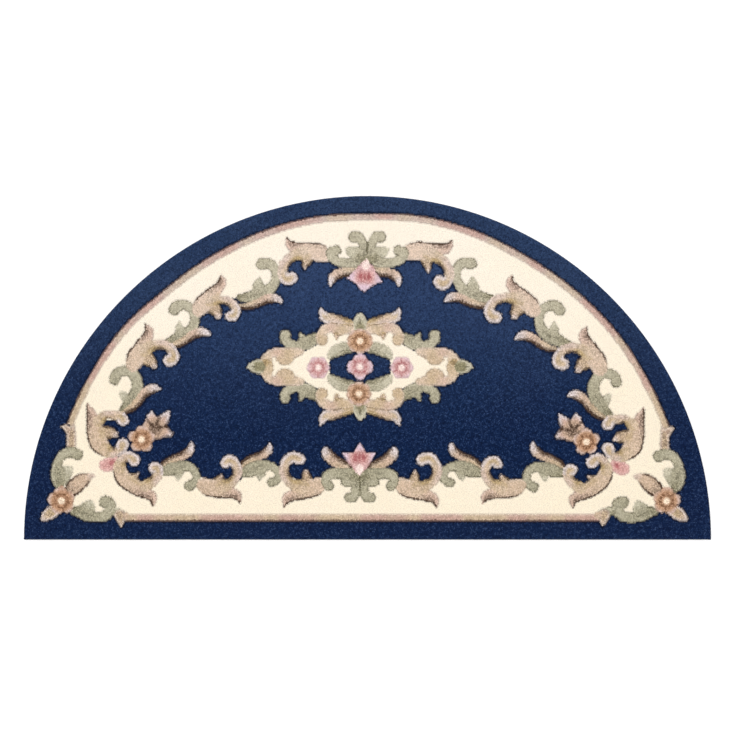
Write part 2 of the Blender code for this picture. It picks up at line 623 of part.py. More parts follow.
def ground_yarn(points):
    """The yarn of the ground at each point."""
    field = [(corner.u, corner.v) for corner in FIELD_EDGE]
    field += [(-corner.u - FIELD_TWIN_SHIFT * (1 - corner.v / RADIUS), corner.v) for corner in reversed(FIELD_EDGE)]
    yarn = np.full(len(points), "navy", object)
    yarn[polygon_distance(points, panel_outline()) < 0] = "cream"
    yarn[polygon_distance(points, field) < 0] = "navy"
    yarn[polygon_distance(points, quarter_outline(DIAMOND_QUARTER, MEDALLION_U, MEDALLION_V)) < 0] = "cream"
    yarn[polygon_distance(points, quarter_outline(EYE_QUARTER, MEDALLION_U, MEDALLION_V)) < 0] = "navy"
    return yarn


def rug_mesh(shapes):
    """The closed slab: a relief top, a soft side and a flat underside."""
    found = surface_points(shapes)
    result = delaunay_2d_cdt([Vector(point) for point in found.points], found.edges, [], 1, 1e-4, True)
    top = np.array([tuple(point) for point in result[0]])
    moved = {}
    for new, olds in enumerate(result[3]):
        for old in olds:
            moved[old] = new
    rim_count = ARC_STEPS + STRAIGHT_STEPS
    rim = [moved[number] for number in range(rim_count)]
    height = pile_height(top, shapes)
    vertices = [(u, v, z) for (u, v), z in zip(top, height)]
    faces = [tuple(face) for face in result[2]]
    above = rim
    for inset, level in ((0.0, EDGE_BELLY_HEIGHT), (EDGE_TUCK, 0.0)):
        ring = [len(vertices) + number for number in range(rim_count)]
        vertices += [(u, v, level) for u, v in outline(inset)]
        for number in range(rim_count):
            after = (number + 1) % rim_count
            faces.append((ring[number], ring[after], above[after]))
            faces.append((ring[number], above[after], above[number]))
        above = ring
    ring_edges = [(number, (number + 1) % rim_count) for number in range(rim_count)]
    base = delaunay_2d_cdt([Vector(point) for point in outline(EDGE_TUCK)], ring_edges, [], 1, 1e-4, True)
    back = {new: above[olds[0]] for new, olds in enumerate(base[3])}
    faces += [tuple(back[corner] for corner in reversed(face)) for face in base[2]]
    vertices = [(u * MM, (v - RADIUS / 2) * MM, z * MM) for u, v, z in vertices]
    mesh = bpy.data.meshes.new(RUG_NAME)
    mesh.from_pydata(vertices, [], faces)
    mesh.validate()
    return mesh


def yarn_material(name):
    """A plain material for one yarn."""
    yarn = YARNS[name]
    material = bpy.data.materials.new(name + "_pile")
    material.use_nodes = True
    shader = material.node_tree.nodes["Principled BSDF"]
    shader.inputs["Base Color"].default_value = (*yarn.colour, 1.0)
    shader.inputs["Roughness"].default_value = yarn.roughness
    shader.inputs["Metallic"].default_value = 0.0
    material.diffuse_color = (*yarn.colour, 1.0)
    return material


def paint(mesh, shapes):
    """Gives each face the yarn of the shape or the ground under its middle."""
    slots = {name: number for number, name in enumerate(YARNS)}
    for name in YARNS:
        mesh.materials.append(yarn_material(name))
    middles = np.array([tuple(face.center) for face in mesh.polygons]) / MM
    points = middles[:, :2] + (0, RADIUS / 2)
    gap, which = union_distance(shapes, points)
    ground = ground_yarn(points)
    for face, outside, number, yarn in zip(mesh.polygons, gap, which, ground):
        face.material_index = slots[yarn if outside > -PAINT_MARGIN else shapes[number].yarn]


def build_rug():
    """Makes the rug's one object in its collection."""
    for thing in list(bpy.data.objects):
        bpy.data.objects.remove(thing, do_unlink=True)
    collection = bpy.data.collections.new(COLLECTION_NAME)
    bpy.context.scene.collection.children.link(collection)
    shapes = [GuardLine(), *placed_motifs(), *drawn_runs(), *medallion_shapes(), *flowers()]
    mesh = rug_mesh(shapes)
    paint(mesh, shapes)
    mesh.shade_smooth()
    mesh.set_sharp_from_angle(angle=math.radians(SHARP_EDGE_DEGREES))
    rug = bpy.data.objects.new(RUG_NAME, mesh)
    collection.objects.link(rug)
    return rug


build_rug()
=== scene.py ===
"""Half-moon tufted hearth rug: real cut-pile tufts over a carved ground, dressed yarn by yarn.

The pattern is worked out in millimetres, u to the right of the rug's middle and v above its straight edge.
Meshes are in metres, in the frame's own axes: the rug lies on the floor with its pile up.
"""

import logging
import math
from dataclasses import dataclass, field
from enum import Enum
from typing import Callable, Iterator, NamedTuple, Sequence

import bpy
import numpy as np
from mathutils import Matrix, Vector
from mathutils.geometry import delaunay_2d_cdt


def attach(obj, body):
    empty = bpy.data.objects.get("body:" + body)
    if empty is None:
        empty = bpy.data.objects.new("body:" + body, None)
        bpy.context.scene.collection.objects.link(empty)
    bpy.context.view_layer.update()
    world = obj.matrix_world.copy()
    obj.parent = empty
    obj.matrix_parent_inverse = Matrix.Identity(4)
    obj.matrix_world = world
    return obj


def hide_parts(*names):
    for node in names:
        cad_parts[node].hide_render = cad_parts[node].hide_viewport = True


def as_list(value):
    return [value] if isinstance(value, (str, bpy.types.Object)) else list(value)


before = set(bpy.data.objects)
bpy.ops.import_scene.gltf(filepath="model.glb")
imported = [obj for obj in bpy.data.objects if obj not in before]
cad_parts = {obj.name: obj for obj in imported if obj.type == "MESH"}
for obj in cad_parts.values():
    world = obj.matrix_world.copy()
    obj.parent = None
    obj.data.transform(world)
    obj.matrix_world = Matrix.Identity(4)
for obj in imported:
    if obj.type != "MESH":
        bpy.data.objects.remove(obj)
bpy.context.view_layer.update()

LOG = logging.getLogger("half_moon_rug")

MM = 0.001
RADIUS = 686.0
SEED = 20

Colour = tuple[float, float, float]
Points = np.ndarray


class Yarn(Enum):
    """The yarns, in the order in which the ground and the tufts number them."""

    BORDER = 0
    FIELD = 1
    CREAM = 2
    GUARD = 3
    TAN = 4
    SAGE = 5
    ROSE = 6
    APRICOT = 7


class Dress(Enum):
    """How a shape is shaded with darker and paler yarn."""

    PLAIN = "plain"
    LEAF = "leaf"
    ARM = "arm"
    LOBE = "lobe"
    TONGUE = "tongue"
    SCROLL = "scroll"
    TOOTH = "tooth"
    POD = "pod"
    FOLD = "fold"
    SEPAL = "sepal"
    VEIN = "vein"
    TIP = "tip"
    BUD = "bud"
    LILY = "lily"
    STAR = "star"
    ROUND = "round"
    BAND = "band"


class Run(NamedTuple):
    """A point on a brush run's spine, with the run's width there."""

    x: float
    y: float
    width: float


class Place(NamedTuple):
    """Where a repeated motif stands on the right half, and how its left twin differs."""

    motif: str
    u: float
    v: float
    turn: float
    size: float
    flip: bool
    twin_u: float
    twin_v: float
    twin_turn: float = 0.0
    twin_size: float = 1.0
    twin_arm: float = 1.0


class Stroke(NamedTuple):
    """A brush run with its yarn and the way it is shaded."""

    yarn: Yarn
    dress: Dress
    rows: tuple[Run, ...]


class Group(NamedTuple):
    """Strokes drawn in place: their axis, how much higher the left twins lie, and their field side."""

    axis: float
    lift: float
    hand: int
    strokes: tuple[Stroke, ...]


class Petals(NamedTuple):
    """A round flower: its middle, its petals, how far it is turned and how plump the petals are."""

    u: float
    v: float
    radius: float
    count: int
    turn: float
    yarn: Yarn
    plump: float


class Corner(NamedTuple):
    """A corner of a flat-sided shape, or a way from one."""

    u: float
    v: float


def runs(*rows: tuple[float, float, float]) -> tuple[Run, ...]:
    """The points of a brush run, each given as x, y and width."""
    return tuple(Run(*row) for row in rows)


def outlined(*rows: tuple[float, float]) -> tuple[Corner, ...]:
    """The corners of an outline, each given as u and v."""
    return tuple(Corner(*row) for row in rows)


def stroke(yarn: Yarn, dress: Dress, *rows: tuple[float, float, float]) -> Stroke:
    """A stroke through points that are each given as x, y and width."""
    return Stroke(yarn, dress, runs(*rows))


WING_LEAF = runs((8, -3, 28), (22, -2, 36), (44, 4, 32), (65, 9, 24), (80, 10, 18), (92, 0, 3))
WING_ARM = runs(
    (42, 10, 26), (56, 28, 20), (64, 48, 19), (62, 64, 19), (54, 75, 21), (41, 77, 24), (34, 69, 22),
)
TOP_ARM = runs(
    (46, 12, 26), (62, 27, 20), (70, 45, 19), (67, 61, 19), (59, 70, 21), (50, 70, 24), (46, 64, 22),
)
SIDE_ARM = runs(
    (42, 11, 26), (56, 26, 20), (62, 42, 19), (60, 57, 19), (51, 68, 21), (40, 70, 24), (35, 63, 23),
)
LOW_ARM = runs(
    (43, 11, 26), (56, 28, 20), (60, 46, 19), (53, 61, 19), (41, 68, 21), (30, 66, 22), (27, 58, 20),
)
LONG_ARM = runs(
    (40, 11, 28), (52, 27, 21), (57, 44, 19), (53, 60, 19), (40, 71, 20), (24, 73, 22), (14, 62, 23),
)
WING_LOBE = runs((28, 18, 30), (24, 29, 22), (16, 38, 11))
TOP_LOBE = runs((36, 16, 24), (35, 31, 14), (32, 42, 2))
LOW_LOBE = runs((32, 14, 24), (32, 25, 14), (32, 34, 3))
LONG_LOBE = runs((26, 16, 24), (20, 29, 14), (15, 37, 3))
SCROLL_RUN = runs(
    (0, 0, 12), (10, 7, 20), (29, 13, 26), (48, 17, 25), (68, 13, 21), (84, 0, 19), (89, -16, 20),
    (84, -29, 22), (71, -36, 24),
)
LONG_SCROLL = runs(
    (0, 0, 12), (10, 6, 21), (29, 12, 27), (48, 17, 25), (67, 13, 21), (82, 0, 19), (88, -17, 20),
    (82, -32, 21), (71, -40, 23), (60, -39, 24),
)
SIDE_SCROLL = runs(
    (0, 0, 12), (10, 6, 21), (29, 12, 27), (48, 15, 28), (67, 11, 25), (82, -1, 23), (88, -17, 22),
    (82, -32, 22), (71, -40, 23), (60, -39, 24),
)
LOW_SCROLL = runs(
    (0, 0, 12), (10, 3, 20), (29, 9, 29), (48, 15, 26), (66, 17, 21), (80, 9, 18), (86, -6, 18),
    (82, -19, 20), (71, -27, 23),
)
SMALL_SCROLL = runs(
    (0, 0, 14), (10, 2, 22), (29, 10, 32), (48, 17, 27), (66, 18, 20), (80, 11, 18), (87, -3, 18),
    (81, -15, 19), (71, -19, 20),
)
SCROLL_TOOTH = runs((42, 6, 28), (46, -4, 18), (55, -14, 3))
LONG_TOOTH = runs((40, 6, 26), (44, -3, 17), (52, -12, 4))
SIDE_TOOTH = runs((30, 5, 26), (34, -5, 18), (39, -14, 9))
LOW_TOOTH = runs((46, 5, 24), (45, -6, 14), (43, -15, 3))
TONGUE = runs((0, 1, 10), (19, 2, 15), (38, -2, 17), (55, -8, 18), (70, -9, 19), (81, -5, 13), (87, 2, 4))
WINGS = {
    "wing": (WING_LOBE, WING_ARM), "top_wing": (TOP_LOBE, TOP_ARM), "side_wing": (WING_LOBE, SIDE_ARM),
    "low_wing": (LOW_LOBE, LOW_ARM), "long_wing": (LONG_LOBE, LONG_ARM),
}
SCROLLS = {
    "scroll": (SCROLL_TOOTH, SCROLL_RUN), "long_scroll": (LONG_TOOTH, LONG_SCROLL),
    "side_scroll": (SIDE_TOOTH, SIDE_SCROLL), "low_scroll": (LOW_TOOTH, LOW_SCROLL),
    "small_scroll": (LOW_TOOTH, SMALL_SCROLL),
}
MOTIFS = {"tongue": (Stroke(Yarn.TAN, Dress.TONGUE, TONGUE),)}
MOTIFS |= {
    name: (
        Stroke(Yarn.TAN, Dress.LOBE, lobe), Stroke(Yarn.TAN, Dress.LEAF, WING_LEAF),
        Stroke(Yarn.TAN, Dress.ARM, arm),
    )
    for name, (lobe, arm) in WINGS.items()
}
MOTIFS |= {
    name: (Stroke(Yarn.SAGE, Dress.TOOTH, tooth), Stroke(Yarn.SAGE, Dress.SCROLL, run))
    for name, (tooth, run) in SCROLLS.items()
}
THICKENING = 0.65
ARC_AXIS = 0.0
ARC_PLACES = (
    Place("scroll", 248, 483, 148, 1.0, False, 8, 1, 3),
    Place("long_scroll", 403, 391, 139, 0.97, False, 2, 1),
    Place("side_scroll", 485, 249, 113, 0.93, False, 8, 5),
    Place("tongue", 240, 468, 174, 0.98, False, 16, -2), Place("tongue", 380, 379, 164, 1.0, False, 19, 7),
    Place("tongue", 474, 242, 147, 1.0, False, 14, 12),
    Place("top_wing", 74, 566, 18, 1.08, True, 5, -4, 8, 0.92, 1.05),
    Place("wing", 333, 449, 120, 0.98, False, 5, 1, 0, 1.0, 0.84),
    Place("side_wing", 463, 332, 105, 1.04, False, 4, 8, 0, 0.97),
)
BOTTOM_AXIS = -12.0
BOTTOM_PLACES = (
    Place("tongue", 406, 141, 142, 0.94, True, -3, 0), Place("tongue", 240, 142.5, 142, 0.89, True, 3, 1),
    Place("low_scroll", 405, 131, 182, 0.88, True, 0, 2),
    Place("small_scroll", 239, 132, 182, 0.87, True, 2, 1),
    Place("low_wing", 321, 114, 208, 0.97, True, 0, 1), Place("long_wing", 74, 116, -34, 1.0, False, 4, 1),
)
TOP_TONGUES = (
    stroke(
        Yarn.TAN, Dress.TONGUE, (13, 542, 10), (27, 535, 18), (43, 533, 19), (58, 528, 20), (66, 519, 15),
        (68, 508, 5),
    ),
)
TOP_CENTRE = (
    stroke(Yarn.SAGE, Dress.TOOTH, (10, 568, 32), (28, 573, 24), (42, 580, 5)),
    stroke(
        Yarn.SAGE, Dress.SCROLL, (8, 562, 26), (28, 553, 21), (50, 553, 19), (68, 561, 19), (73, 573, 20),
        (62, 577, 21),
    ),
    stroke(Yarn.SAGE, Dress.SCROLL, (4, 560, 20), (7, 578, 20), (10, 593, 19), (18, 604, 21), (26, 604, 24)),
    stroke(Yarn.SAGE, Dress.VEIN, (0, 593, 4), (0, 580, 5), (0, 566, 4)),
)
BOTTOM_CENTRE = (
    stroke(
        Yarn.TAN, Dress.TONGUE, (13, 136, 12), (27, 145, 21), (43, 153, 23), (57, 162, 23), (66, 172, 20),
        (69, 177, 12), (67, 184, 4),
    ),
    stroke(Yarn.SAGE, Dress.SCROLL, (6, 120, 28), (24, 118, 25), (31, 115, 16)),
    stroke(
        Yarn.SAGE, Dress.SCROLL, (8, 130, 26), (30, 131, 24), (50, 132, 22), (65, 127, 20), (68, 115, 18),
        (62, 107, 20),
    ),
    stroke(Yarn.SAGE, Dress.SCROLL, (5, 125, 22), (8, 108, 19), (9, 95, 19), (13, 86, 21), (21, 84, 21)),
    stroke(Yarn.SAGE, Dress.VEIN, (0, 124, 4), (0, 108, 4), (0, 88, 4)),
)
UPPER_CRESCENT = (
    stroke(Yarn.TAN, Dress.LOBE, (522, 205, 26), (509, 205, 22), (499, 201, 12)),
    stroke(
        Yarn.TAN, Dress.LEAF, (508, 166, 20), (517, 168, 24), (532, 183, 36), (539, 205, 36),
        (542, 225, 30), (547, 242, 20), (556, 263, 3),
    ),
    stroke(
        Yarn.TAN, Dress.ARM, (534, 228, 22), (519, 240, 17), (504, 240, 17), (489, 238, 20), (484, 231, 24),
    ),
)
UPPER_CURL = (
    stroke(
        Yarn.TAN, Dress.ARM, (520, 172, 26), (510, 166, 22), (498, 166, 18), (488, 172, 20), (485, 181, 26),
    ),
)
LOWER_CRESCENT = (
    stroke(Yarn.TAN, Dress.LOBE, (468, 116, 22), (456, 122, 14), (448, 128, 3)),
    stroke(
        Yarn.TAN, Dress.LEAF, (484, 149, 20), (486, 138, 26), (478, 118, 32), (455, 101, 32), (434, 89, 24),
        (420, 80, 18), (419, 66, 8),
    ),
    stroke(
        Yarn.TAN, Dress.ARM, (434, 103, 24), (417, 114, 20), (409, 127, 20), (411, 138, 22), (417, 139, 22),
    ),
)
LOWER_CURL = (
    stroke(
        Yarn.TAN, Dress.ARM, (486, 138, 24), (483, 151, 20), (474, 161, 19), (464, 161, 21), (457, 154, 24),
    ),
)
CREAM_BUD = (stroke(Yarn.ROSE, Dress.BUD, (498, 152, 14), (507, 145, 28), (517, 141, 25)),)
UPPER_ORNAMENT = (
    stroke(
        Yarn.GUARD, Dress.TIP, (611, 222, 4), (603, 219, 12), (594, 211, 18), (592, 200, 19),
        (592, 182, 19),
    ),
    stroke(Yarn.GUARD, Dress.TIP, (587, 226, 4), (590, 213, 13), (592, 200, 17)),
    stroke(Yarn.SAGE, Dress.TOOTH, (614, 122, 38), (603, 131, 26), (591, 138, 5)),
    stroke(
        Yarn.SAGE, Dress.SCROLL, (614, 100, 12), (617, 110, 24), (619, 127, 29), (620, 143, 20),
        (616, 157, 18), (606, 167, 20), (592, 170, 23), (580, 166, 23),
    ),
)
LOWER_ORNAMENT = (
    stroke(Yarn.SAGE, Dress.TOOTH, (554, 57, 34), (549, 66, 22), (546, 76, 5)),
    stroke(
        Yarn.SAGE, Dress.SCROLL, (582, 54, 10), (572, 55, 21), (555, 49, 25), (535, 44, 20), (517, 47, 22),
        (507, 58, 22), (508, 70, 25), (516, 74, 26),
    ),
    stroke(
        Yarn.TAN, Dress.POD, (539, 126, 4), (550, 124, 16), (564, 116, 30), (577, 105, 33), (585, 97, 28),
    ),
    stroke(Yarn.TAN, Dress.TIP, (643, 40, 7), (636, 45, 17), (626, 52, 25), (613, 61, 22)),
    stroke(Yarn.APRICOT, Dress.BUD, (604, 90, 24), (604, 96, 20)),
)
GUARD_TAIL = (
    stroke(Yarn.SAGE, Dress.TOOTH, (499, 57, 16), (490, 56, 18), (480, 52, 18)),
    stroke(Yarn.GUARD, Dress.PLAIN, (482, 50, 18), (471, 48, 14)),
    stroke(Yarn.GUARD, Dress.TIP, (480, 27, 4), (481, 38, 14), (484, 50, 22)),
)
GROUPS = (
    Group(-5.0, 0.0, -1, TOP_TONGUES), Group(-0.5, 0.0, 1, TOP_CENTRE), Group(-15.0, 0.0, 1, BOTTOM_CENTRE),
    Group(-6.0, 7.0, 1, CREAM_BUD), Group(-9.0, 4.0, -1, LOWER_CRESCENT), Group(-9.0, 4.0, 1, LOWER_CURL),
    Group(-4.0, 8.0, 1, UPPER_CRESCENT), Group(-4.0, 8.0, -1, UPPER_CURL),
    Group(1.0, 4.0, 1, UPPER_ORNAMENT), Group(-7.0, 1.0, 1, LOWER_ORNAMENT),
    Group(-11.0, -1.0, 1, GUARD_TAIL),
)
MEDALLION_U = -15.0
MEDALLION_V = 345.0
MEDALLION_QUARTER = (
    stroke(Yarn.SAGE, Dress.TOOTH, (18, 38, 20), (36, 36, 25), (54, 27, 20), (63, 16, 4)),
    stroke(Yarn.SAGE, Dress.TOOTH, (113, 50, 20), (116, 60, 12), (120, 68, 3)),
    stroke(
        Yarn.SAGE, Dress.SCROLL, (90, 56, 22), (105, 48, 27), (123, 41, 21), (140, 45, 19), (150, 55, 19),
        (149, 63, 21),
    ),
    stroke(Yarn.TAN, Dress.FOLD, (46, 68, 16), (47, 57, 7)),
    stroke(
        Yarn.TAN, Dress.FOLD, (118, 30, 14), (130, 28, 20), (141, 25, 26), (150, 20, 35), (160, 27, 24),
        (170, 28, 18), (181, 23, 18), (187, 11, 25), (187, 0, 29),
    ),
    stroke(Yarn.TAN, Dress.ARM, (13, 83, 16), (35, 90, 20), (55, 95, 22), (70, 99, 20), (79, 115, 5)),
    stroke(
        Yarn.TAN, Dress.FOLD, (11, 72, 14), (25, 75, 20), (42, 74, 23), (56, 78, 19), (70, 74, 20),
        (78, 63, 20), (76, 54, 24),
    ),
)
MEDALLION_BUDS = (
    runs((1, 106, 5), (0, 90, 26), (0, 75, 22)), runs((1, -106, 5), (0, -90, 26), (0, -75, 22)),
    runs((224, -1, 4), (213, 0, 20), (203, 0, 28)), runs((-224, -1, 4), (-213, 0, 20), (-203, 0, 28)),
)
CORNER_FLOWER = Petals(444, 195, 27, 5, 20, Yarn.APRICOT, 1.3)
CORNER_FLOWER_LIFT = 5.0
END_FLOWER = Petals(604, 77, 28, 5, 10, Yarn.APRICOT, 1.5)
FLOWER_AXIS = -7.0
MEDALLION_FLOWERS = (
    Petals(0, 51, 26, 8, 0, Yarn.APRICOT, 2.4), Petals(-2, -54, 25, 8, 0, Yarn.APRICOT, 2.4),
    Petals(0, 0, 26, 4, 0, Yarn.ROSE, 1.7), Petals(83, -2, 23, 6, 0, Yarn.ROSE, 1.7),
    Petals(-83, -2, 23, 6, 180, Yarn.ROSE, 1.7),
)
TOP_LILY = outlined((0, 0), (15, 17), (25, 31), (35, 42), (24, 46), (16, 51), (9, 58), (0, 65))
LOW_LILY = outlined((0, 0), (15, 17), (25, 31), (33, 45), (22, 44), (12, 45), (9, 52), (5, 58), (0, 63))
LILY_PLACES = ((-2, 561, 175, 1.03, TOP_LILY), (-16, 127, 0, 1.03, LOW_LILY))
STAR_BUD = outlined(
    (388, 253), (400, 247), (412, 239), (423, 252), (431, 246), (437, 234), (441, 220), (436, 200),
    (414, 194), (399, 199), (382, 201), (380, 207), (394, 223), (388, 237),
)
STAR_HEART = Corner(417, 217)
STAR_WAY = Corner(-0.6, 0.8)
FIELD_EDGE = outlined(
    (0, 545), (30, 560), (80, 566), (118, 566), (148, 560), (158, 540), (168, 520), (180, 507), (198, 492),
    (222, 482), (262, 483), (300, 483), (318, 462), (334, 449), (341, 430), (352, 412), (372, 396),
    (392, 388), (420, 384), (445, 365), (462, 335), (452, 310), (454, 285), (470, 258), (484, 238),
    (514, 238), (530, 222), (526, 190), (508, 170), (480, 162), (470, 154), (476, 135), (460, 113),
    (434, 103), (408, 112), (396, 128), (360, 138), (338, 142), (322, 132), (308, 118), (280, 104),
    (250, 106), (232, 122), (193, 138), (163, 140), (148, 124), (128, 122), (100, 108), (68, 114),
    (42, 125), (5, 128), (-15, 128),
)
FIELD_TWIN_SHIFT = 22.0
PANEL_CORNER = outlined(
    (593, 200), (597, 180), (611, 165), (621, 140), (620, 115), (611, 98), (603, 85), (599, 65), (583, 58),
    (565, 52), (548, 46), (528, 42), (509, 50), (497, 60), (478, 54), (464, 44),
)
PANEL_AXIS = -2.0
PANEL_ARC_STEPS = 60
DIAMOND_QUARTER = outlined(
    (0, 62), (28, 64), (48, 70), (66, 68), (74, 50), (92, 40), (118, 26), (148, 7), (160, 8), (162, 19),
    (178, 17), (180, 7), (180, 0),
)
EYE_QUARTER = outlined((0, 38), (20, 36), (38, 32), (54, 24), (61, 15), (61, 0))
BAND_STEP = 2.0
BAND_WIDTHS = (
    (0, 43), (25, 42), (40, 38), (60, 37), (70, 33), (80, 31), (90, 35), (100, 33), (110, 36), (120, 40),
    (130, 43), (140, 39), (160, 43), (180, 43),
)


def smooth(value: Points) -> Points:
    """A soft ramp from 0 to 1 as value goes from 0 to 1."""
    t = np.clip(value, 0.0, 1.0)
    return t * t * (3.0 - 2.0 * t)


def above(value: Points, limit: float, reach: float) -> Points:
    """0 up to a limit, rising softly to 1 a reach above it."""
    return smooth((value - limit) / reach)


def below(value: Points, limit: float, reach: float) -> Points:
    """0 down to a limit, rising softly to 1 a reach below it."""
    return smooth((limit - value) / reach)


def hump(value: Points, middle: float, reach: float) -> Points:
    """1 where value is middle, fading softly to 0 a reach away on either side."""
    return smooth(1.0 - np.abs(value - middle) / reach)


def spline(rows: Sequence, step: float) -> Points:
    """Points of a smooth curve, a Catmull-Rom spline, through rows.

    Args:
        rows: the knots; the first two values are a place, and any more run along smoothly.
        step: how far apart the points are to be.

    Returns:
        One row of values for each point.
    """
    knots = np.array(rows, float)
    if len(knots) == 2:
        knots = np.array([knots[0], knots.mean(0), knots[1]])
    knots = np.vstack([2 * knots[0] - knots[1], knots, 2 * knots[-1] - knots[-2]])
    pieces = []
    for a, b, c, d in zip(knots, knots[1:], knots[2:], knots[3:]):
        count = max(2, int(math.dist(b[:2], c[:2]) / step) + 1)
        t = np.linspace(0, 1, count, endpoint=False)[:, None]
        bend = 2 * a - 5 * b + 4 * c - d
        twist = 3 * b - a - 3 * c + d
        pieces.append(0.5 * (2 * b + (c - a) * t + bend * t**2 + twist * t**3))
    pieces.append(knots[-2:-1])
    return np.vstack(pieces)


def polygon_distance(points: Points, corners: Sequence) -> Points:
    """Distance of each point from a closed polygon, negative inside it."""
    corners = np.array(corners, float)
    nearest = np.full(len(points), np.inf)
    inside = np.zeros(len(points), bool)
    for a, b in zip(corners, np.roll(corners, -1, 0)):
        side = b - a
        if not side.any():
            continue
        along = np.clip((points - a) @ side / (side @ side), 0, 1)
        nearest = np.minimum(nearest, np.linalg.norm(points - a - along[:, None] * side, axis=1))
        if a[1] != b[1]:
            crossing = a[0] + (points[:, 1] - a[1]) * side[0] / side[1]
            inside ^= ((a[1] > points[:, 1]) != (b[1] > points[:, 1])) & (points[:, 0] < crossing)
    return np.where(inside, -nearest, nearest)


def band_width(angle: Points) -> Points:
    """The width of the navy band outside the guard line, at an angle round the arc in degrees."""
    curve = spline(BAND_WIDTHS, BAND_STEP)
    return np.interp(angle, curve[:, 0], curve[:, 1])


class Measure(NamedTuple):
    """What a shape knows about points: how far outside it they are, and where along and across it."""

    gap: Points
    along: Points
    across: Points


@dataclass
class BrushRun:
    """A run of pile: a spine with a width at each of its points.

    Attributes:
        yarn: what it is tufted in.
        dress: how it is shaded.
        rows: the spine's knots, in place on the rug; its points are a STEP apart and its half width
            is never below THINNEST.
        hand: 1 where the field side is on the left of the spine, -1 where it is on the right.
    """

    STEP = 2.0
    THINNEST = 0.8

    yarn: Yarn
    dress: Dress
    rows: Sequence
    hand: int = 1
    spine: Points = field(init=False)
    half: Points = field(init=False)
    ahead: Points = field(init=False)

    def __post_init__(self) -> None:
        """Works out the smooth spine, its half widths and its directions."""
        curve = spline(self.rows, self.STEP)
        self.spine = curve[:, :2]
        self.half = np.maximum(curve[:, 2] / 2, self.THINNEST)
        self.ahead = np.gradient(self.spine, axis=0)
        self.ahead /= np.maximum(np.linalg.norm(self.ahead, axis=1), 1e-9)[:, None]

    def box(self) -> tuple[Points, Points]:
        """The lowest and the highest corner of the run."""
        reach = self.half[:, None]
        return (self.spine - reach).min(0), (self.spine + reach).max(0)

    def measure(self, points: Points) -> Measure:
        """Measures points against the run, along it from 0 to 1 and across it from -1 to 1."""
        offset = points[:, None] - self.spine[None]
        gaps = np.linalg.norm(offset, axis=2) - self.half
        nearest = gaps.argmin(1)
        rows = np.arange(len(points))
        reach = offset[rows, nearest]
        ahead = self.ahead[nearest]
        across = self.hand * (ahead[:, 0] * reach[:, 1] - ahead[:, 1] * reach[:, 0]) / self.half[nearest]
        return Measure(gaps[rows, nearest], nearest / (len(self.spine) - 1), across)


@dataclass
class Flower:
    """A round flower: petals that are circles round its middle."""

    petals: Petals
    hand: int = 1
    yarn: Yarn = field(init=False)
    dress: Dress = Dress.ROUND

    def __post_init__(self) -> None:
        """Takes the yarn of its petals."""
        self.yarn = self.petals.yarn

    def box(self) -> tuple[Points, Points]:
        """The lowest and the highest corner of the flower."""
        centre = np.array([self.petals.u, self.petals.v], float)
        return centre - self.petals.radius, centre + self.petals.radius

    def rim(self, turn: Points) -> Points:
        """The flower's radius, at an angle from the middle of its nearest petal."""
        out = self.petals.radius / (1 + math.sin(math.pi / self.petals.count) * self.petals.plump)
        petal = self.petals.radius - out
        return out * np.cos(turn) + np.sqrt(np.maximum(petal**2 - (out * np.sin(turn)) ** 2, 0.0))

    def measure(self, points: Points) -> Measure:
        """Measures points: along from the middle to the rim, across from a petal to the next gap."""
        offset = points - (self.petals.u, self.petals.v)
        reach = np.linalg.norm(offset, axis=1)
        angle = np.arctan2(offset[:, 1], self.hand * offset[:, 0]) - math.radians(self.petals.turn)
        step = math.tau / self.petals.count
        turn = np.abs((angle + step / 2) % step - step / 2)
        return Measure(reach - self.rim(turn), reach / self.petals.radius, turn / (step / 2))


@dataclass
class FlatShape:
    """A shape with flat sides, such as a lily or a star bud.

    Attributes:
        yarn: what it is tufted in.
        dress: how it is shaded.
        corners: its outline.
        heart: the place that its shading runs out from.
        upward: the direction in which the flower opens.
        hand: 1, or -1 where it is a mirrored twin.
    """

    yarn: Yarn
    dress: Dress
    corners: Sequence
    heart: tuple[float, float]
    upward: tuple[float, float]
    hand: int = 1

    def box(self) -> tuple[Points, Points]:
        """The lowest and the highest corner of the shape."""
        corners = np.array(self.corners, float)
        return corners.min(0), corners.max(0)

    def measure(self, points: Points) -> Measure:
        """Measures points, along the way it opens and to its left, in millimetres from its heart."""
        offset = points - self.heart
        sideways = np.array([-self.upward[1], self.upward[0]]) * self.hand
        gap = polygon_distance(points, self.corners)
        return Measure(gap, offset @ np.array(self.upward), offset @ sideways)


@dataclass
class GuardLine:
    """The thin line between the navy border and the cream panel, on the arc and on the straight edge."""

    width: float = 14.0
    straight_v: float = 43.5
    straight_left: float = -486.0
    straight_right: float = 464.0
    arc_start: float = 20.5
    arc_end: float = 159.0
    yarn: Yarn = Yarn.GUARD
    dress: Dress = Dress.BAND

    def box(self) -> tuple[Points, Points]:
        """The whole rug."""
        return np.array([-RADIUS, 0.0]), np.array([RADIUS, RADIUS])

    def measure(self, points: Points) -> Measure:
        """Measures points, along in degrees on the arc or in centimetres, and across outwards."""
        angle = np.degrees(np.arctan2(points[:, 1], points[:, 0]))
        depth = RADIUS - np.linalg.norm(points, axis=1) - band_width(angle) - self.width / 2
        past = np.maximum(self.arc_start - angle, angle - self.arc_end) * math.radians(RADIUS)
        on_arc = np.maximum(np.abs(depth) - self.width / 2, past)
        rise = points[:, 1] - self.straight_v
        past = np.maximum(self.straight_left - points[:, 0], points[:, 0] - self.straight_right)
        on_edge = np.maximum(np.abs(rise) - self.width / 2, past)
        straight = on_edge < on_arc
        return Measure(np.where(straight, on_edge, on_arc), np.where(straight, points[:, 0] / 10, angle),
                       np.where(straight, -rise, -depth) / (self.width / 2))


